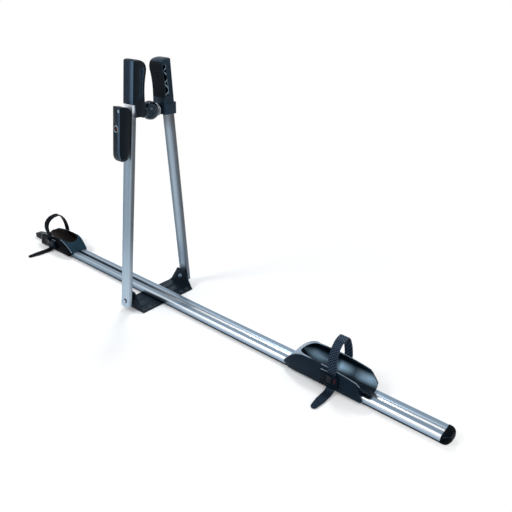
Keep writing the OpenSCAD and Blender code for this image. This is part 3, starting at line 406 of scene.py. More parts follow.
@lru_cache(maxsize=None)
def material(finish: Finish) -> bpy.types.Material:
    """Makes a finish's material once.

    Args:
        finish: The finish.

    Returns:
        Its material.
    """
    made = bpy.data.materials.new(finish.name)
    graph = Graph.blank(made)
    shader = graph.add("ShaderNodeBsdfPrincipled")
    graph.add("ShaderNodeOutputMaterial", shader.outputs[0])
    colour, rough, height, depth = finish.shade(graph)
    bump = graph.add("ShaderNodeBump", BUMP_STRENGTH, depth)
    graph.feed(bump.inputs["Height"], height)
    tint = WHITE if finish.metallic else SKY_TINT
    for name, value in (("Base Color", colour), ("Roughness", rough), ("Metallic", finish.metallic),
                        ("Specular IOR Level", finish.level), ("Specular Tint", tint),
                        ("Normal", bump.outputs["Normal"])):
        graph.feed(shader.inputs[name], value)
    return made


@dataclass(frozen=True)
class Plastic(Finish):
    """Moulded plastic or rubber with grain, broad unevenness, handling marks, and edges lightened by wear
    and painted highlight.

    Attributes:
        colour: Its colour.
        rough: Its roughness.
        grain: Fineness of the grain.
        depth: Depth of the grain in metres.
        marked: How much the marks show.
        edge: Colour of its edges where wear and painted highlight lighten them.
    """

    level: float = 0.14
    colour: Colour = BLACK
    rough: float = 0.4
    grain: float = 900.0
    depth: float = 0.00008
    marked: float = 0.12
    edge: Colour = tone(46, 58, 70)

    def shade(self, graph: Graph) -> Skin:
        """Draws the plastic.

        Args:
            graph: The material's tree.

        Returns:
            Its colour, roughness, height pattern and depth.
        """
        grain = graph.effect(Effect.GRAIN, self.grain)
        rubs_and_sheen = graph.times(graph.marks(160.0), self.marked)
        base = self.local(graph, graph.mottled(grain["Shade"], self.colour, 1.2))
        base = graph.mix(rubs_and_sheen, base, scaled(self.colour, 3.0))
        # Edges lightened for wear and as painted highlights.
        base = graph.mix(graph.wear_and_highlight(grain["Height"]), base, self.edge)
        rough = graph.span(grain["Height"], *FINE_RANGE, self.rough - 0.05, self.rough + 0.06)
        return base, graph.plus(rough, graph.times(rubs_and_sheen, 0.4)), grain["Height"], self.depth

    def local(self, graph: Graph, base: Feed) -> Feed:
        """Changes the colour by place; plain plastic has none of that."""
        return base


@dataclass(frozen=True)
class JawPlastic(Plastic):
    """Plastic of the jaw and lever on the near side, with a painted highlight towards the rear of the outer
    face and painted shade on the side.

    Attributes:
        light: Colour of the painted highlight near the rear edge.
        painted_shade_side: Colour of the painted shade on the side behind it.
        half: Half of the piece's width.
    """

    light: Colour = tone(74, 96, 116)
    painted_shade_side: Colour = tone(11, 16, 21)
    half: float = 0.02

    def local(self, graph: Graph, base: Feed) -> Feed:
        """Paints a highlight on the outer face towards its rear edge and paints shade on the side.

        Args:
            graph: The material's tree.
            base: The colour so far.

        Returns:
            The colour.
        """
        x, _, _ = graph.axes()
        across = graph.facing_y()
        # Painted highlight towards the rear edge of the outer face, and painted shade on the side.
        towards = graph.times(graph.span(x, self.half * 0.1, self.half * 0.8),
                              graph.span(across, -0.75, -0.9))
        base = graph.mix(towards, base, self.light)
        return graph.mix(graph.span(across, -0.9, -0.55), base, self.painted_shade_side)


@dataclass(frozen=True)
class RibbedPlastic(Plastic):
    """Plastic of the other jaw, with painted highlights on the ribs and painted shade in the recess in its
    sides.

    Attributes:
        rib: Colour of the painted highlight on the ribs' outer faces.
        recess_shade: Colour of the painted shade inside the recess.
        rib_x: Distance of those faces from the middle.
        skin: How far from there they still count.
        low: Height of the recess's lower end.
        high: Height of its upper end.
        inner: Distance of the recess from the carrier's middle.
        leg_low: Distance of its outer end from there, at the lower end.
        leg_high: The same at the upper end.
    """

    rib: Colour = tone(140, 158, 172)
    recess_shade: Colour = tone(3, 4, 6)
    rib_x: float = 0.0186
    skin: float = 0.0002
    low: float = 0.546
    high: float = 0.618
    inner: float = 0.0345
    leg_low: float = 0.0472
    leg_high: float = 0.0400

    def local(self, graph: Graph, base: Feed) -> Feed:
        """Paints highlights on the ribs and paints shade in the recess.

        Args:
            graph: The material's tree.
            base: The colour so far.

        Returns:
            The colour.
        """
        x, y, z = graph.axes()
        reach = graph.math("ABSOLUTE", x)
        outer = graph.span(z, self.low, self.high, self.leg_low, self.leg_high)
        zone = graph.times(graph.within(y, self.inner, outer), graph.within(z, self.low, self.high))
        deep = graph.math("LESS_THAN", reach, self.rib_x - self.skin)
        # Painted shade in the recess, and painted highlights on the ribs' outer faces.
        base = graph.mix(graph.times(zone, deep), base, self.recess_shade)
        top = graph.math("COMPARE", reach, self.rib_x, self.skin)
        return graph.mix(graph.times(zone, top), base, self.rib)


@dataclass(frozen=True)
class CradlePlastic(Finish):
    """Plastic of a wheel cradle, grained outside and polished where the tyre lies, with a painted highlight
    on its nose and a painted sheen band in its trough.

    Attributes:
        outer: Colour of the grained outside.
        inner: Colour of the trough.
        bowl: Place of the centre of the trough's round end.
        radius: Radius of the trough.
        lip: Distances past that radius between which its polish ends.
        towards: 1 where the round end is at minus X, and -1 at plus X.
        nose: Colour of the painted highlight on the upper side of the nose.
        sheen: Colour of the painted sheen band on the trough's far wall.
        rubs_and_sheen: Places and strengths of that painted band, from the bowl towards the open end.
        rough: Roughness of the outside.
        polish: Roughness of the trough.
    """

    level: float = 0.1
    outer: Colour = BLACK
    inner: Colour = BLACK
    bowl: Place = (0.0, 0.0, 0.0)
    radius: float = 0.03
    lip: tuple[float, float] = (0.0002, 0.0007)
    towards: float = 1.0
    nose: Colour = BLACK
    sheen: Colour = tone(150, 182, 205)
    rubs_and_sheen: tuple[tuple[float, float], ...] = ()
    rough: float = 0.38
    polish: float = 0.2

    def shade(self, graph: Graph) -> Skin:
        """Draws the cradle's plastic.

        Args:
            graph: The material's tree.

        Returns:
            Its colour, roughness, height pattern and depth.
        """
        x, y, z = graph.axes()
        past = graph.times(graph.minus(self.bowl[0], x), self.towards)
        reach = graph.length(graph.math("MAXIMUM", past, 0.0), y, graph.minus(z, self.bowl[2]))
        inside = graph.span(reach, self.radius + self.lip[0], self.radius + self.lip[1], 1.0, 0.0)
        upper = graph.span(graph.math("ABSOLUTE", graph.facing_y()), 0.5, 0.3)
        nose = graph.times(graph.span(past, -0.02, 0.005), upper)
        grain, marks = graph.effect(Effect.GRAIN, 850.0), graph.marks(90.0)
        # Painted highlight on the nose's upper side, then the trough with its painted sheen band.
        base = graph.mix(nose, self.outer, self.nose)
        base = graph.mix(inside, base, self.trough(graph, past))
        base = graph.mix(grain["Shade"], base, graph.mix(1.0, base, (1.3, 1.3, 1.3, 1.0), "MULTIPLY"))
        base = graph.mix(graph.times(marks, 0.1), base, scaled(self.outer, 4.0))
        # Edges lightened for wear and as painted highlights.
        base = graph.mix(graph.wear_and_highlight(grain["Height"]), base, tone(84, 100, 116))
        rough = graph.plus(graph.span(inside, 0.0, 1.0, self.rough, self.polish),
                           graph.span(grain["Height"], *FINE_RANGE, -0.04, 0.05))
        height = graph.times(grain["Height"], graph.span(inside, 0.0, 1.0, 1.0, 0.1))
        return base, graph.plus(rough, graph.times(marks, 0.12)), height, 0.00012

    def trough(self, graph: Graph, past: Socket) -> Feed:
        """Draws the trough's colour, with a painted sheen band on its far wall.

        Args:
            graph: The material's tree.
            past: Distance past the centre of the trough's round end.

        Returns:
            The colour.
        """
        if not self.rubs_and_sheen:
            return self.inner
        _, y, z = graph.axes()
        # A painted sheen band on the far wall, as strong as the stops give along the trough.
        angle = graph.math("ARCTAN2", y, graph.minus(self.bowl[2], z))
        band = graph.times(graph.span(angle, 0.25, 0.8), graph.span(angle, 1.4, 0.9))
        share = graph.bands(graph.times(past, -1.0),
                            tuple((at, (much, much, much, 1.0)) for at, much in self.rubs_and_sheen))
        return graph.mix(graph.times(band, share), self.inner, self.sheen)


@dataclass(frozen=True)
class BrushedMetal(Finish):
    """Anodised aluminium with brushed lines and handling marks over painted highlight and shade bands.

    Attributes:
        stretch: Stretch of the lines along each axis.
        fineness: Fineness of the marks.
        line: Strength and colour of the lines.
        mark: Strength and colour of the marks.
        rough: Roughness of the smoothest places.
        scuff: Roughness that the marks add.
        depth: Depth of the lines in metres.
    """

    metallic: float = 1.0
    stretch: Place = (4.0, 500.0, 500.0)
    fineness: float = 70.0
    line: tuple[float, Colour] = (0.08, tone(96, 112, 128))
    mark: tuple[float, Colour] = (0.06, tone(214, 220, 226))
    rough: float = 0.30
    scuff: float = 0.1
    depth: float = 0.00001

    def shade(self, graph: Graph) -> Skin:
        """Draws the metal.

        Args:
            graph: The material's tree.

        Returns:
            Its colour, roughness, height pattern and depth.
        """
        base, smooth = self.painted_light_bands(graph)
        lines, marks = graph.effect(Effect.BRUSH, self.stretch), graph.marks(self.fineness)
        base = graph.mix(graph.span(lines["Height"], *FINE_RANGE, 0.0, self.line[0]), base, self.line[1])
        base = graph.mix(graph.times(marks, self.mark[0]), base, self.mark[1])
        rough = graph.minus(graph.span(lines["Shade"], 0.0, 1.0, self.rough, self.rough + 0.08),
                            graph.times(smooth, 0.2))
        height = graph.times(lines["Height"], graph.span(smooth, 0.0, 1.0, 1.0, 0.0))
        return base, graph.plus(rough, graph.times(marks, self.scuff)), height, self.depth

    def painted_light_bands(self, graph: Graph) -> tuple[Feed, Feed]:
        """Draws the bands of painted highlight and shade that the metal shows."""
        raise NotImplementedError


@dataclass(frozen=True)
class RailMetal(BrushedMetal):
    """The rail's metal, with painted highlights and shade in bands along its grooves and shoulders.

    Attributes:
        shoulder: Height at which the round shoulder starts.
        slot_half: Half of the slot's width with its hidden lips.
        slot_top: Height up to which the slot's inside reaches.
        top: Bands of painted highlight and shade over the top, as distances from the middle and colours.
        side: Bands up the sides, painted shade at the foot and painted highlight higher up, as heights and
            colours.
    """

    shoulder: float = 0.016
    slot_half: float = 0.009
    slot_top: float = 0.0178
    # Painted highlights and shade across the top and up the sides. The outermost places of both carry the
    # colour next to them on to the rail's edge.
    top: Stops = (
        (-0.0230, tone(200, 210, 220)), (-0.0228, tone(200, 210, 220)),
        (-0.0205, tone(240, 244, 248)), (-0.0182, tone(228, 234, 240)),
        (-0.0168, tone(132, 149, 166)), (-0.0120, tone(120, 139, 157)), (-0.0062, tone(124, 143, 160)),
        (-0.0056, tone(246, 249, 252)), (-0.0042, tone(248, 250, 252)), (0.0040, tone(70, 84, 98)),
        (0.0058, tone(120, 134, 148)), (0.0075, tone(176, 191, 205)), (0.0105, tone(128, 147, 164)),
        (0.0185, tone(118, 139, 158)), (0.0205, tone(168, 182, 196)), (0.0226, tone(140, 156, 172)),
        (0.0230, tone(140, 156, 172)))
    side: Stops = (
        (0.0030, tone(14, 18, 24)), (0.0080, tone(18, 23, 30)), (0.0088, tone(140, 160, 180)),
        (0.0120, tone(150, 170, 190)), (0.0152, tone(190, 203, 216)),
        (0.0160, tone(190, 203, 216)))

    def painted_light_bands(self, graph: Graph) -> tuple[Feed, Feed]:
        """Draws the bands of painted highlight and shade over the rail, with painted shade dulling them
        towards its front end.

        Args:
            graph: The material's tree.

        Returns:
            Their colour, and a mask of the slot's inside.
        """
        x, y, z = graph.axes()
        base = graph.mix(graph.span(z, self.shoulder - 0.001, self.shoulder), graph.bands(z, self.side),
                         graph.bands(y, self.top))
        slot = graph.times(graph.math("LESS_THAN", graph.math("ABSOLUTE", y), self.slot_half),
                           graph.math("LESS_THAN", z, self.slot_top))
        # The slot's inside is painted white, a painted reflection.
        base = graph.mix(slot, base, tone(253, 254, 255))
        # Painted shade dulls the near shoulder and side towards the front end, and darkens the slot there.
        shoulder = graph.times(graph.span(y, -0.0155, -0.0172), graph.span(x, 0.36, -0.2))
        base = graph.mix(shoulder, base, (0.46, 0.53, 0.58, 1.0), "MULTIPLY")
        dark = graph.times(slot, graph.span(x, 0.25, -0.15))
        return graph.mix(dark, base, (0.08, 0.1, 0.12, 1.0), "MULTIPLY"), slot


@dataclass(frozen=True)
class LegMetal(BrushedMetal):
    """Satin anodised tube, brushed along its length, with painted reflections and shade in bands and zones.

    Attributes:
        light: How light the tube is.
        jaw_shade: Share of the darker, warmer painted shade under the jaw.
        pale: Share of the painted highlight between the jaw's cover and the lever.
        foot: Share of the painted light that brightens the tube towards the foot.
        across: Bands of painted highlight and shade over its width, as places and colours.
    """

    stretch: Place = (800.0, 800.0, 6.0)
    fineness: float = 80.0
    line: tuple[float, Colour] = (0.1, tone(92, 108, 122))
    mark: tuple[float, Colour] = (0.08, tone(200, 210, 218))
    rough: float = 0.34
    scuff: float = 0.15
    depth: float = 0.00003
    light: float = 1.0
    jaw_shade: float = 0.3
    pale: float = 0.0
    foot: float = 0.1
    across: Stops = (
        (-0.0170, tone(112, 128, 142)), (-0.0130, tone(135, 155, 172)), (-0.0020, tone(158, 178, 196)),
        (0.0090, tone(150, 170, 188)), (0.0130, tone(168, 188, 203)), (0.0155, tone(140, 150, 160)),
        (0.0163, tone(106, 112, 118)), (0.0170, tone(104, 110, 116)))

    def painted_light_bands(self, graph: Graph) -> tuple[Feed, Feed]:
        """Draws the painted highlight and shade: bands over the tube's width and zones along it.

        Args:
            graph: The material's tree.

        Returns:
            Their colour, and no smooth places.
        """
        x, _, z = graph.axes()
        base = graph.bands(x, tuple((at, scaled(colour, self.light)) for at, colour in self.across))
        # Heights between which each zone comes in, its share and its colour; the zones are painted shade
        # under the jaw, a painted highlight and painted light towards the foot.
        for low, high, share, colour in ((0.45, 0.495, self.jaw_shade, tone(66, 62, 60)),
                                         (0.51, 0.525, self.pale, tone(228, 235, 241)),
                                         (0.25, 0.05, self.foot, tone(180, 198, 212))):
            base = graph.mix(graph.span(z, low, high, 0.0, share), base, colour)
        return base, 0.0


@dataclass(frozen=True)
class PlainMetal(Finish):
    """Zinc plated or coated steel with a fine grain, handling marks and bare edges.

    Attributes:
        colour: Its colour.
        bare: Colour of the bare metal where the coat is gone.
        rough: Its roughness.
        marked: How much rubbed marks show.
        red_mark: Place and radius of a small red mark, as X, Z and radius, or none.
    """

    level: float = 0.2
    metallic: float = 1.0
    colour: Colour = WHITE
    bare: Colour = WHITE
    rough: float = 0.35
    marked: float = 0.2
    red_mark: Place | None = None

    def shade(self, graph: Graph) -> Skin:
        """Draws the metal.

        Args:
            graph: The material's tree.

        Returns:
            Its colour, roughness, height pattern and depth.
        """
        grain = graph.effect(Effect.GRAIN, 700.0)
        wear_and_highlight = graph.plus(graph.times(graph.wear_and_highlight(grain["Height"]), 0.6),
                          graph.times(graph.marks(130.0), self.marked))
        base = graph.mix(wear_and_highlight, graph.mottled(grain["Shade"], self.colour, 1.15), self.bare)
        if self.red_mark:
            x, _, z = graph.axes()
            mark_x, mark_z, radius = self.red_mark
            away = graph.length(graph.minus(x, mark_x), graph.minus(z, mark_z))
            base = graph.mix(graph.span(away, radius, radius * 1.3, 1.0, 0.0), base, tone(168, 34, 38))
        rough = graph.span(grain["Height"], *FINE_RANGE, self.rough - 0.05, self.rough + 0.08)
        return base, rough, grain["Height"], 0.00003


@dataclass(frozen=True)
class StrapRubber(Finish):
    """Flexible strap with rows of small diamonds between its teeth.

    Attributes:
        colour: Its colour.
        light: Colour of the diamonds' tops, painted highlights on them.
        pitch: Distance from one diamond to the next.
    """

    level: float = 0.12
    colour: Colour = BLACK
    light: Colour = BLACK
    pitch: float = 0.0074

    def shade(self, graph: Graph) -> Skin:
        """Draws the strap.

        Args:
            graph: The material's tree.

        Returns:
            Its colour, roughness, height pattern and depth.
        """
        grain = graph.effect(Effect.GRAIN, 1100.0)
        x, y, z = graph.axes()
        band = graph.add("ShaderNodeCombineXYZ", x, 0.0, graph.plus(y, z)).outputs[0]
        teeth = graph.times(graph.effect(Effect.TEETH, self.pitch, band)["Mask"],
                            graph.span(z, 0.006, 0.03, 0.25, 1.0))
        base = graph.mottled(grain["Shade"], self.colour, 1.2)
        # The diamonds' tops get painted highlights, fainter towards the strap's lower end.
        base = graph.mix(graph.times(teeth, 0.9), base, self.light)
        base = graph.mix(graph.times(graph.marks(150.0), 0.1), base, scaled(self.light, 1.3))
        height = graph.plus(teeth, graph.times(grain["Height"], 0.2))
        return base, graph.span(teeth, 0.0, 1.0, 0.48, 0.34), height, 0.0002


BRACKET_COAT = PlainMetal("bracket_coat", Slot.COATED, colour=tone(22, 31, 40), bare=tone(84, 98, 112),
                          rough=0.42, metallic=0.0, level=0.12, marked=0.05)
RIM_COAT = PlainMetal("rim_coat", Slot.COATED, colour=tone(64, 76, 88), bare=tone(130, 140, 150),
                      rough=0.4, metallic=0.0)
BOLT = PlainMetal("bolt_zinc", Slot.ZINC, colour=tone(160, 178, 194), bare=tone(216, 224, 232), rough=0.3)
ZINC = PlainMetal("zinc_plate", Slot.ZINC, colour=tone(176, 182, 190), bare=tone(220, 224, 228), rough=0.3)
DARK_STEEL = PlainMetal("darkened_steel", Slot.ZINC, colour=tone(58, 66, 76), bare=tone(150, 158, 168),
                        rough=0.32)
RIM_STEEL = PlainMetal("lock_rim_steel", Slot.ZINC, colour=tone(150, 160, 170), bare=tone(200, 206, 212))
LOCK_FACE = PlainMetal("lock_face", Slot.ZINC, colour=tone(30, 35, 42), bare=tone(90, 98, 108),
                       red_mark=(0.0015, 0.483, 0.0013))
RAIL = RailMetal("rail_anodised", Slot.ALUMINIUM)
# Both legs carry painted highlights and shade in their bands and zones.
LEFT_LEG = LegMetal("left_leg_anodised", Slot.ALUMINIUM, light=0.79, pale=0.85, foot=0.7)
RIGHT_LEG = LegMetal("right_leg_anodised", Slot.ALUMINIUM, light=0.74, jaw_shade=0.5, across=(
    (-0.0170, tone(150, 166, 180)), (-0.0135, tone(116, 132, 146)), (-0.0080, tone(138, 156, 172)),
    (-0.0010, tone(182, 200, 215)), (0.0050, tone(176, 194, 210)), (0.0110, tone(152, 170, 186)),
    (0.0150, tone(122, 132, 142)), (0.0170, tone(104, 110, 116))))
CAP = Plastic("end_cap_plastic", Slot.PLASTIC, colour=tone(3, 6, 10), rough=0.34, level=0.03)
PLUG = Plastic("foot_plug_plastic", Slot.PLASTIC, colour=tone(16, 20, 26), rough=0.5)
# The near jaw takes its plastic's painted highlight and painted shade.
LEFT_JAW = JawPlastic("left_jaw_plastic", Slot.PLASTIC, colour=tone(18, 30, 44), rough=0.42,
                      edge=tone(84, 100, 116))
# The other jaw's ribs carry painted highlights and its recess painted shade.
RIGHT_JAW = RibbedPlastic("right_jaw_plastic", Slot.PLASTIC, colour=tone(28, 42, 55), rough=0.42,
                          edge=tone(74, 90, 106))
PAD = Plastic("pad_rubber", Slot.RUBBER, colour=tone(11, 15, 20), rough=0.62, grain=1400.0, level=0.1)
KNOB = Plastic("knob_gloss", Slot.GLOSS, colour=tone(5, 13, 21), rough=0.16, depth=0.00002, level=0.45)
# The lever's light and side colours are a painted highlight and painted shade, and its light edge colour is
# partly a painted edge highlight.
LEVER = JawPlastic("lever_gloss", Slot.GLOSS, colour=tone(13, 24, 34), rough=0.26, depth=0.00004,
                   edge=tone(112, 130, 146), light=tone(58, 78, 96), painted_shade_side=tone(7, 12, 17),
                   half=0.0135)
BUCKLE = Plastic("buckle_plastic", Slot.PLASTIC, colour=tone(12, 20, 29), rough=0.36, level=0.08)
PAWL = Plastic("pawl_plastic", Slot.PLASTIC, colour=tone(12, 17, 24), rough=0.3)
RELEASE = Plastic("release_mark", Slot.PLASTIC, colour=tone(104, 24, 28), rough=0.4)
# A light plastic that stands for painted highlights along the cradles' crests and the buckle's top edge.
EDGE_HIGHLIGHT = Plastic("cradle_edge", Slot.PLASTIC, colour=tone(120, 136, 150), rough=0.35, level=0.3)
# The straps' light colours are painted highlights on the diamonds' tops.
STRAP = StrapRubber("strap_rubber", Slot.RUBBER, colour=tone(19, 29, 41), light=tone(74, 93, 114))
FAR_STRAP = StrapRubber("far_strap_rubber", Slot.RUBBER, colour=tone(5, 8, 12), light=tone(18, 25, 34),
                        level=0.03)
# The cradles' nose colours are painted highlights, and the rear cradle's band is a painted sheen in its
# trough.
REAR_CRADLE = CradlePlastic("rear_cradle_plastic", Slot.PLASTIC, outer=tone(10, 24, 36),
                            inner=tone(6, 14, 22), nose=tone(128, 144, 160), bowl=(0.523, 0.0, 0.056),
                            radius=0.029, rubs_and_sheen=(
    (-0.03, 0.15), (-0.012, 0.5), (0.01, 0.35), (0.03, 0.1), (0.052, 0.2), (0.06, 0.85), (0.078, 0.5),
    (0.095, 0.15), (0.112, 0.6), (0.135, 0.7), (0.156, 0.3)))
FRONT_CRADLE = CradlePlastic("front_cradle_plastic", Slot.PLASTIC, outer=tone(2, 4, 7),
                             inner=tone(14, 8, 5), nose=tone(29, 47, 59), bowl=(-0.423, 0.0, 0.0505),
                             radius=0.026, towards=-1.0, level=0.02)


class Bench:
    """Shapes new pieces with edit operators, as by hand."""

    @staticmethod
    def clear() -> None:
        """Deselects everything, the model's own nodes too."""
        if bpy.context.mode != "OBJECT":
            bpy.ops.object.mode_set(mode="OBJECT")
        bpy.ops.object.select_all(action="DESELECT")

    @staticmethod
    def take(*pieces: bpy.types.Object) -> None:
        """Selects some pieces only, with the first as the active one.

        Args:
            *pieces: The pieces.
        """
        Bench.clear()
        for piece in pieces:
            piece.select_set(True)
        bpy.context.view_layer.objects.active = pieces[0]

    @staticmethod
    def edit(piece: bpy.types.Object, kind: str, action: str) -> None:
        """Opens a piece for editing.

        Args:
            piece: The piece.
            kind: What is selected in it: VERT, EDGE or FACE.
            action: SELECT for all of it, or DESELECT for nothing.
        """
        Bench.take(piece)
        bpy.ops.object.mode_set(mode="EDIT")
        bpy.ops.mesh.select_mode(type=kind)
        bpy.ops.mesh.select_all(action=action)

    @staticmethod
    def settle(piece: bpy.types.Object, angle: float) -> None:
        """Puts a piece's place into its mesh and smooths it up to an angle.

        Args:
            piece: The piece.
            angle: Largest angle that is smoothed, in degrees.
        """
        Bench.take(piece)
        bpy.ops.object.transform_apply(location=True, rotation=True, scale=True)
        Bench.edit(piece, "VERT", "SELECT")
        bpy.ops.mesh.normals_make_consistent(inside=False)
        bpy.ops.object.mode_set(mode="OBJECT")
        bpy.ops.object.shade_smooth_by_angle(angle=math.radians(angle))

    @staticmethod
    def ring(name: str, centre: Place, axis: Axis, radius: float, wire: float,
             flat: float = 1.0) -> bpy.types.Object:
        """Makes a ring, round or flattened.

        Args:
            name: Its name.
            centre: Its centre.
            axis: The way its axis lies.
            radius: Radius of its middle line.
            wire: Radius of its section.
            flat: Height of its section as a share of its width.

        Returns:
            The ring.
        """
        Bench.clear()
        bpy.ops.mesh.primitive_torus_add(location=centre, rotation=axis.value, major_radius=radius,
                                         minor_radius=wire, major_segments=48, minor_segments=12)
        ring = bpy.context.active_object
        ring.name = ring.data.name = name
        Bench.edit(ring, "VERT", "SELECT")
        value = (1.0, 1.0, flat) if axis is Axis.UP else (1.0, flat, 1.0)
        bpy.ops.transform.resize(value=value, center_override=centre)
        bpy.ops.object.mode_set(mode="OBJECT")
        Bench.settle(ring, ROUND_ANGLE)
        return ring

    @staticmethod
    def bar(name: str, centre: Place, size: Place, lean: float) -> bpy.types.Object:
        """Makes a small bar with an inset outer face and soft edges.

        Args:
            name: Its name.
            centre: Its centre.
            size: Its size along the rail, out of the face and up.
            lean: Its turn about the rail's direction, in radians.

        Returns:
            The bar.
        """
        Bench.clear()
        bpy.ops.mesh.primitive_cube_add(size=1.0, location=centre, rotation=(lean, 0.0, 0.0), scale=size)
        bar = bpy.context.active_object
        bar.name = bar.data.name = name
        bpy.ops.object.transform_apply(location=False, rotation=False, scale=True)
        Bench.edit(bar, "FACE", "DESELECT")
        mesh = bmesh.from_edit_mesh(bar.data)
        for face in mesh.faces:
            face.select_set(face.normal.y < -OUTWARD)
        bmesh.update_edit_mesh(bar.data)
        bpy.ops.mesh.inset(thickness=min(size[0], size[2]) * INSET_SHARE, depth=0.0)
        bpy.ops.object.mode_set(mode="OBJECT")
        soft = bar.modifiers.new("soft", "BEVEL")
        soft.width = min(size) * SOFT_SHARE
        soft.segments = 3
        soft.limit_method = "ANGLE"
        bpy.ops.object.modifier_apply(modifier=soft.name)
        Bench.settle(bar, BAR_ANGLE)
        return bar

    @staticmethod
    def copies(piece: bpy.types.Object, moves: Sequence[Place]) -> bpy.types.Object:
        """Repeats a piece at other places and joins it all.

        Args:
            piece: The piece.
            moves: How far each copy is moved.

        Returns:
            The joined piece.
        """
        twins = []
        for move in moves:
            twin = piece.copy()
            twin.data = piece.data.copy()
            twin.data.transform(Matrix.Translation(Vector(move)))
            bpy.context.scene.collection.objects.link(twin)
            twins.append(twin)
        Bench.take(piece, *twins)
        bpy.ops.object.join()
        return bpy.context.active_object


@dataclass
class SubAssembly:
    """A group of the carrier's pieces.

    Attributes:
        frame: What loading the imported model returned.
    """

    frame: dict

    def dress(self, finish: Finish, *nodes: str) -> None:
        """Gives nodes of the model a finish.

        Args:
            finish: The finish.
            *nodes: The nodes' names.
        """
        for node in nodes:
            for slot in self.frame["nodes"][node].material_slots:
                slot.material = material(finish)
            LOG.info("dressed %s in %s", node, finish.name)

    def merged(self, node: str) -> bpy.types.Object:
        """Copies a node and merges its mesh, so that its edges can be shaped.

        Args:
            node: The node's name.

        Returns:
            The copy, which rides on nothing yet.
        """
        source = self.frame["nodes"][node]
        piece = source.copy()
        piece.data = source.data.copy()
        piece.parent = None
        piece.matrix_world = Matrix.Identity(4)
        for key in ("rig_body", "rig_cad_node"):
            if key in piece:
                del piece[key]
        bpy.context.scene.collection.objects.link(piece)
        Bench.take(piece)
        bpy.ops.mesh.customdata_custom_splitnormals_clear()
        Bench.edit(piece, "VERT", "SELECT")
        bpy.ops.mesh.remove_doubles(threshold=MERGE_GAP)
        bpy.ops.mesh.dissolve_limited(angle_limit=FLAT_ANGLE)
        bpy.ops.mesh.normals_make_consistent(inside=False)
        bpy.ops.object.mode_set(mode="OBJECT")
        return piece

    def shell(self, node: str, finish: Finish, edge: float = 0.0, angle: float = SHARP_ANGLE) -> None:
        """Replaces a node by its merged copy, with soft edges and smooth faces.

        Args:
            node: The node's name.
            finish: The finish of the copy.
            edge: Width of the bevel along its sharp edges, or 0 for none.
            angle: Smallest angle of an edge that is sharp, in degrees.
        """
        piece = self.merged(node)
        piece.name = piece.data.name = node + "_shell"
        piece.data.materials.clear()
        piece.data.materials.append(material(finish))
        if edge > 0.0:
            self.soften(piece, edge, angle)
        bpy.ops.object.shade_smooth_by_angle(angle=math.radians(angle))
        body = self.frame["nodes"][node].parent.name.split(":", 1)[1]
        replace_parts(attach(piece, body), node)
        LOG.info("made %s in %s", piece.name, finish.name)

    def soften(self, piece: bpy.types.Object, edge: float, angle: float) -> None:
        """Bevels a piece's sharp edges and marks the new faces for wear and painted edge highlights.

        Args:
            piece: The piece, which is selected and has one material.
            edge: Width of the bevel.
            angle: Smallest angle of an edge that is sharp, in degrees.
        """
        piece.data.materials.append(piece.data.materials[0])
        soft = piece.modifiers.new("soft_edges", "BEVEL")
        soft.width = edge
        soft.segments = 2
        soft.limit_method = "ANGLE"
        soft.angle_limit = math.radians(angle)
        soft.material = 1
        soft.harden_normals = False
        bpy.ops.object.modifier_apply(modifier=soft.name)
        wear = piece.data.attributes.new("edge_wear", "FLOAT", "CORNER")
        for face in piece.data.polygons:
            for corner in face.loop_indices:
                wear.data[corner].value = float(face.material_index == 1)
            face.material_index = 0
        piece.data.materials.pop(index=1)

    def fit(self, piece: bpy.types.Object, finish: Finish, body: str) -> None:
        """Dresses a new piece and lets it ride.

        Args:
            piece: The piece.
            finish: Its finish.
            body: The body that it rides on.
        """
        piece.data.materials.clear()
        piece.data.materials.append(material(finish))
        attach(piece, body)
        LOG.info("fitted %s on %s", piece.name, body)


@dataclass
class FootBracket(SubAssembly):
    """Steel foot bracket with the bolts that the legs turn on.

    Attributes:
        sheet: Thickness of the sheet.
        hole_x: Half of the distance along the rail between the corner holes.
        hole_rows: Distances of the two rows of holes from the middle.
        rim: Radii of the raised rim round a hole and of its section.
        pivot: Height of the pivot bolts.
        washer_y: Distance of the washers from the middle.
        washer: Radii of a washer and of its section.
    """

    sheet: float = 0.003
    hole_x: float = 0.033
    hole_rows: tuple[float, float] = (0.080, 0.058)
    rim: tuple[float, float] = (0.0046, 0.0011)
    pivot: float = 0.030
    washer_y: float = 0.1142
    washer: tuple[float, float] = (0.0053, 0.0011)

    def build(self) -> None:
        """Makes the bracket, a low rim round each roof bar hole, and washers under the bolts' ends."""
        self.shell("base_bracket", BRACKET_COAT, edge=0.0005)
        self.dress(ZINC, "rail_screws")
        self.dress(BOLT, "pivot_bolts")
        outer, inner = self.hole_rows
        first = (self.hole_x, outer, self.sheet)
        rim = Bench.ring("hole_rims", first, Axis.UP, *self.rim, flat=0.5)
        spots = [(sx * self.hole_x, sy * row) for sx in (-1, 1) for sy in (-1, 1) for row in (outer, inner)]
        spots += [(0.0, inner), (0.0, -inner)]
        moves = [(x - first[0], y - first[1], 0.0) for x, y in spots if (x, y) != first[:2]]
        self.fit(Bench.copies(rim, moves), RIM_COAT, "base")
        washer = Bench.ring("rivet_washers", (0.0, -self.washer_y, self.pivot), Axis.ALONG_Y,
                            *self.washer, flat=0.18)
        self.fit(Bench.copies(washer, [(0.0, 2 * self.washer_y, 0.0)]), PLUG, "base")


@dataclass
class RailExtrusion(SubAssembly):
    """Aluminium rail with its two end caps."""

    def build(self) -> None:
        """Dresses the rail and makes its caps."""
        self.dress(RAIL, "rail")
        for node in ("front_end_cap", "rear_end_cap"):
            self.shell(node, CAP, edge=0.0008)


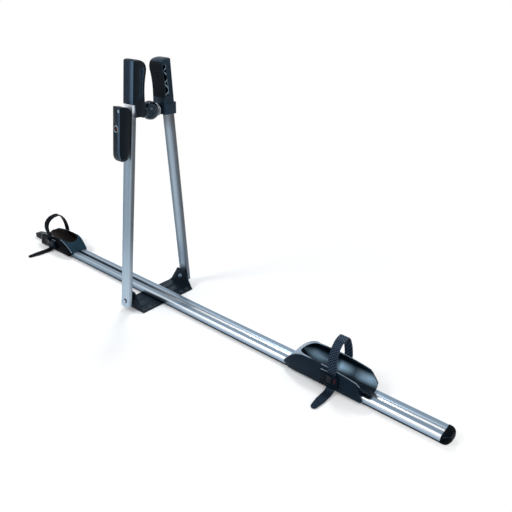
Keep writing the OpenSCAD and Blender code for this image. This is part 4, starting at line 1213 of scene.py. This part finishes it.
@dataclass
class FoldingFrame(SubAssembly):
    """The two leaning legs with their feet."""

    def build(self) -> None:
        """Dresses the legs, their plugs and their bushes."""
        self.dress(LEFT_LEG, "left_leg")
        self.dress(RIGHT_LEG, "right_leg")
        self.dress(PLUG, "left_foot_plug", "left_pivot_bush", "right_foot_plug", "right_pivot_bush")


@dataclass
class Jaws(SubAssembly):
    """The two jaws that grip the down tube, with their pads and screws."""

    def build(self) -> None:
        """Makes and dresses the jaws."""
        self.shell("left_jaw", LEFT_JAW, edge=0.0006)
        self.shell("right_jaw", RIGHT_JAW, edge=0.0005)
        for side in ("left", "right"):
            self.shell(side + "_jaw_pad", PAD)
            self.dress(ZINC, side + "_jaw_screws")


@dataclass
class Clamp(SubAssembly):
    """Knob, tie rod, quick lever and lock.

    Attributes:
        rod_z: Height of the tie rod.
        trims: Name of each of the knob's rings, its place along the rod and its two radii.
        lock_z: Height of the lock.
        lock_y: Place of the lever's outer face at the lock.
        lock_ring: Radii of the lock's rim and of its section.
    """

    rod_z: float = 0.514
    trims: tuple[tuple[str, float, float, float], ...] = (
        ("knob_trim", 0.0205, 0.0149, 0.0011), ("knob_second_trim", 0.0150, 0.0169, 0.0008))
    lock_z: float = 0.483
    lock_y: float = -0.1025
    lock_ring: tuple[float, float] = (0.0076, 0.0008)

    def build(self) -> None:
        """Makes and dresses the clamp's pieces."""
        self.shell("clamp_knob", KNOB, angle=28.0)
        self.shell("clamp_lever", LEVER, edge=0.0010)
        self.dress(ZINC, "tie_rod", "rod_collar", "cam_barrel", "lever_screw")
        self.dress(DARK_STEEL, "lock_housing")
        self.dress(LOCK_FACE, "lock_cylinder")
        for name, y, radius, wire in self.trims:
            trim = Bench.ring(name, (0.0, y, self.rod_z), Axis.ALONG_Y, radius, wire)
            self.fit(trim, ZINC, "knob")
        rim = Bench.ring("lock_rim", (0.0, self.lock_y, self.lock_z), Axis.ALONG_Y, *self.lock_ring,
                         flat=0.8)
        self.fit(rim, RIM_STEEL, "lever")


@dataclass
class WheelCradle(SubAssembly):
    """A sliding cradle with its strap, buckle and pawl.

    Attributes:
        end: The end of the rail that it sits at.
        strap_x: Place of the strap.
        skirt_z: Height of the skirts.
        skirt_half: Half of the width over the skirts.
        lean: Lean of the side panels, in radians.
        buckle_top: Height of the buckle cover's top over the skirt.
        rib_step: Distance from one grip rib to the next.
        bead: Radius of the light bead, a painted highlight, along the upper edges.
        plastic: Finish of the cradle.
        strap: Finish of the strap.
    """

    end: End = End.REAR
    strap_x: float = 0.591
    skirt_z: float = 0.008
    skirt_half: float = 0.0295
    lean: float = math.atan(3.5 / 54.0)
    buckle_top: float = 0.0421
    rib_step: float = 0.0035
    bead: float = 0.0009
    plastic: CradlePlastic = REAR_CRADLE
    strap: StrapRubber = STRAP

    def build(self) -> None:
        """Makes and dresses the cradle's pieces."""
        end = self.end.value
        # Light beads on the crests, a painted highlight.
        self.edge_beads(end + "_cradle", end + "_tray")
        # Each shell's node, finish, bevel and smallest sharp angle.
        for node, finish, edge, angle in (("_cradle", self.plastic, 0.0006, SHARP_ANGLE),
                                          ("_strap", self.strap, 0.0, 30.0),
                                          ("_buckle", BUCKLE, 0.0005, SHARP_ANGLE),
                                          ("_pawl", PAWL, 0.0003, SHARP_ANGLE)):
            self.shell(end + node, finish, edge, angle)
        inner = ("_cradle_bolt", "_cradle_nut", "_strap_rivet", "_pawl_pin")
        self.dress(ZINC, *(end + node for node in inner))
        self.buckle_parts(end, self.plastic.towards)

    def buckle_parts(self, end: str, side: float) -> None:
        """Sets grip ribs and a release mark on the buckle cover, and a light bar above it that is a painted
        highlight on the cover's top edge.

        Args:
            end: Name of the cradle's end.
            side: 1 at the rear, and -1 at the front.
        """
        sine, cosine = math.sin(self.lean), math.cos(self.lean)
        # Each part's name, finish, place along the rail, out of the panel and up it, and size.
        for name, finish, along, out, up, size in (
                ("_buckle_ribs", BUCKLE, -0.0245, 0.0075, 0.014, (0.0016, 0.0012, 0.014)),
                # The lip is a light bar, a painted highlight along the cover's top edge.
                ("_buckle_lip", EDGE_HIGHLIGHT, -0.0165, 0.0012, self.buckle_top, (0.022, 0.0022, 0.0022)),
                ("_release_mark", RELEASE, 0.0115, 0.0074, 0.031, (0.0014, 0.0012, 0.012))):
            centre = (self.strap_x + side * along, -(self.skirt_half + out * cosine + up * sine),
                      self.skirt_z - out * sine + up * cosine)
            piece = Bench.bar(end + name, centre, size, self.lean)
            if finish is BUCKLE:
                piece = Bench.copies(piece, [(side * self.rib_step * n, 0.0, 0.0) for n in (1, 2)])
            self.fit(piece, finish, end + "_tray")

    def edge_beads(self, node: str, body: str) -> None:
        """Lays a thin, light bead along the upper edges of both side panels, a painted highlight on the
        crests.

        Args:
            node: The cradle's node.
            body: The body that the beads ride on.
        """
        scratch = self.merged(node)
        Bench.edit(scratch, "EDGE", "DESELECT")
        mesh = bmesh.from_edit_mesh(scratch.data)
        for edge in mesh.edges:
            if len(edge.link_faces) == 2:
                panel, top = sorted((face.normal for face in edge.link_faces), key=lambda n: -abs(n.y))
                outward = panel.y * (edge.verts[0].co.y + edge.verts[1].co.y) > 0.0
                edge.select_set(outward and abs(panel.y) > PANEL_ACROSS and abs(panel.z) < PANEL_UP
                                and top.z > TOP_UP and abs(top.y) < TOP_ACROSS)
        bmesh.update_edit_mesh(scratch.data)
        bpy.ops.mesh.duplicate()
        bpy.ops.mesh.separate(type="SELECTED")
        bpy.ops.object.mode_set(mode="OBJECT")
        beads = next(piece for piece in bpy.context.selected_objects if piece is not scratch)
        bpy.data.objects.remove(scratch)
        Bench.take(beads)
        bpy.ops.object.convert(target="CURVE")
        curve = bpy.context.active_object.data
        curve.bevel_depth = self.bead
        curve.bevel_resolution = 2
        curve.use_fill_caps = True
        bpy.ops.object.convert(target="MESH")
        beads = bpy.context.active_object
        beads.name = beads.data.name = node + "_beads"
        Bench.settle(beads, ROUND_ANGLE)
        self.fit(beads, EDGE_HIGHLIGHT, body)


@dataclass
class Studio:
    """Camera, pale floor, white surround and soft lamps.

    Attributes:
        eye: Place of the camera.
        turns: Its turn to the left, its look down and the picture's roll, in degrees.
        lens: Focal length in millimetres.
        ambient: Light of the surround on the object.
        pale: The floor's two colours.
        floor_glow: Share of its own light that the floor shows.
        floor_ends: Distances at which the floor starts to turn white and is white.
        floor_long: Share of a distance along the rail that counts for this.
        aim: Place that the lamps look at.
        light: Colour of the lamps.
        lamps: Name, place, size and power in watts of each lamp.
    """

    eye: Place = (1.0355, -0.8806, 0.7640)
    turns: Place = (38.06, 25.24, 2.43)
    lens: float = 38.07
    ambient: Colour = (0.46, 0.47, 0.48, 1.0)
    pale: tuple[Colour, Colour] = ((0.92, 0.92, 0.92, 1.0), (0.93, 0.93, 0.93, 1.0))
    floor_glow: float = 0.11
    floor_ends: tuple[float, float] = (0.35, 0.9)
    floor_long: float = math.sqrt(0.6)
    aim: Place = (0.1, 0.0, 0.15)
    light: Place = (0.96, 0.98, 1.0)
    lamps: tuple[tuple[str, Place, float, float], ...] = (
        ("key", (-0.7, -1.8, 2.2), 0.9, 32.0), ("fill", (2.0, -0.4, 1.5), 1.0, 9.0),
        ("top", (-0.45, 0.8, 2.3), 0.5, 19.0))

    def build(self) -> None:
        """Makes the camera, the surround, the floor and the lamps."""
        bpy.context.scene.view_settings.view_transform = "Standard"
        self.set_camera()
        self.set_surround()
        self.lay_floor()
        self.hang_lamps()
        LOG.info("set up the studio")

    def set_camera(self) -> None:
        """Makes the camera at the picture's viewing angle."""
        yaw, pitch, roll = (math.radians(angle) for angle in self.turns)
        turn = (Matrix.Rotation(yaw, 3, "Z") @ Matrix.Rotation(math.pi / 2 - pitch, 3, "X")
                @ Matrix.Rotation(roll, 3, "Z"))
        data = bpy.data.cameras.new("view")
        data.lens = self.lens
        data.sensor_width = 36.0
        data.clip_start = 0.02
        data.clip_end = 200.0
        camera = bpy.data.objects.new("view", data)
        self.place(camera, self.eye, turn)
        bpy.context.scene.camera = camera

    @staticmethod
    def place(thing: bpy.types.Object, place: Place, turn: Matrix) -> None:
        """Puts a camera or lamp at its place in the scene, turned by a matrix."""
        thing.matrix_world = Matrix.Translation(place) @ turn.to_4x4()
        bpy.context.scene.collection.objects.link(thing)

    @staticmethod
    def seen(graph: Graph) -> Socket:
        """Finds the rays that show a background, directly, in metal or through glass.

        Args:
            graph: The tree that asks.

        Returns:
            1 for such a ray, and 0 for one that lights the object.
        """
        path = graph.add("ShaderNodeLightPath")
        total = graph.plus(path.outputs["Is Camera Ray"], path.outputs["Is Glossy Ray"])
        return graph.math("MINIMUM", graph.plus(total, path.outputs["Is Transmission Ray"]), 1.0)

    def set_surround(self) -> None:
        """Makes a white surround that lights the object softly."""
        world = bpy.data.worlds.new("surround")
        graph = Graph.blank(world)
        light, white = (graph.add("ShaderNodeBackground", colour) for colour in (self.ambient, WHITE))
        both = graph.add("ShaderNodeMixShader", self.seen(graph), light.outputs[0], white.outputs[0])
        graph.add("ShaderNodeOutputWorld", both.outputs[0])
        bpy.context.scene.world = world

    def lay_floor(self) -> None:
        """Lays a pale floor that takes the object's shadow and turns white further out."""
        Bench.clear()
        bpy.ops.mesh.primitive_plane_add(size=60.0, location=(0.0, 0.0, -0.0006))
        floor = bpy.context.active_object
        floor.name = floor.data.name = "floor"
        made = bpy.data.materials.new("pale_floor")
        graph = Graph.blank(made)
        shader = graph.add("ShaderNodeBsdfPrincipled")
        shade = graph.effect(Effect.GRAIN, 60.0)["Shade"]
        graph.feed(shader.inputs["Base Color"], graph.mix(shade, *self.pale))
        shader.inputs["Roughness"].default_value = 0.9
        shader.inputs["Specular IOR Level"].default_value = 0.0
        seen = self.seen(graph)
        glow = graph.add("ShaderNodeEmission", WHITE, graph.times(seen, self.floor_glow))
        near = graph.add("ShaderNodeAddShader", shader.outputs[0], glow.outputs[0])
        x, y, _ = graph.axes()
        far = graph.span(graph.length(graph.times(x, self.floor_long), y), *self.floor_ends)
        both = graph.add("ShaderNodeMixShader", graph.times(seen, far), near.outputs[0],
                         graph.add("ShaderNodeEmission", WHITE).outputs[0])
        graph.add("ShaderNodeOutputMaterial", both.outputs[0])
        floor.data.materials.append(made)
        Bench.clear()

    def hang_lamps(self) -> None:
        """Hangs square soft lamps that look at the middle of the carrier."""
        for name, place, size, power in self.lamps:
            data = bpy.data.lights.new(name, "AREA")
            data.shape = "SQUARE"
            data.size = size
            data.energy = power
            data.color = self.light
            lamp = bpy.data.objects.new(name, data)
            self.place(lamp, place, (Vector(self.aim) - Vector(place)).to_track_quat("-Z", "Y").to_matrix())


def main() -> None:
    """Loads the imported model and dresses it, sub-assembly by sub-assembly."""
    logging.basicConfig(level=logging.INFO, format="%(message)s")
    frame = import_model()
    Studio().build()
    front = WheelCradle(frame, End.FRONT, strap_x=-0.479, skirt_z=0.005, lean=math.atan(1.5 / 48.0),
                        buckle_top=0.0351, plastic=FRONT_CRADLE, strap=FAR_STRAP)
    groups = (FootBracket(frame), RailExtrusion(frame), FoldingFrame(frame), Jaws(frame), Clamp(frame),
              WheelCradle(frame, End.REAR), front)
    for group in groups:
        group.build()
    Bench.clear()


if __name__ == "__main__":
    main()
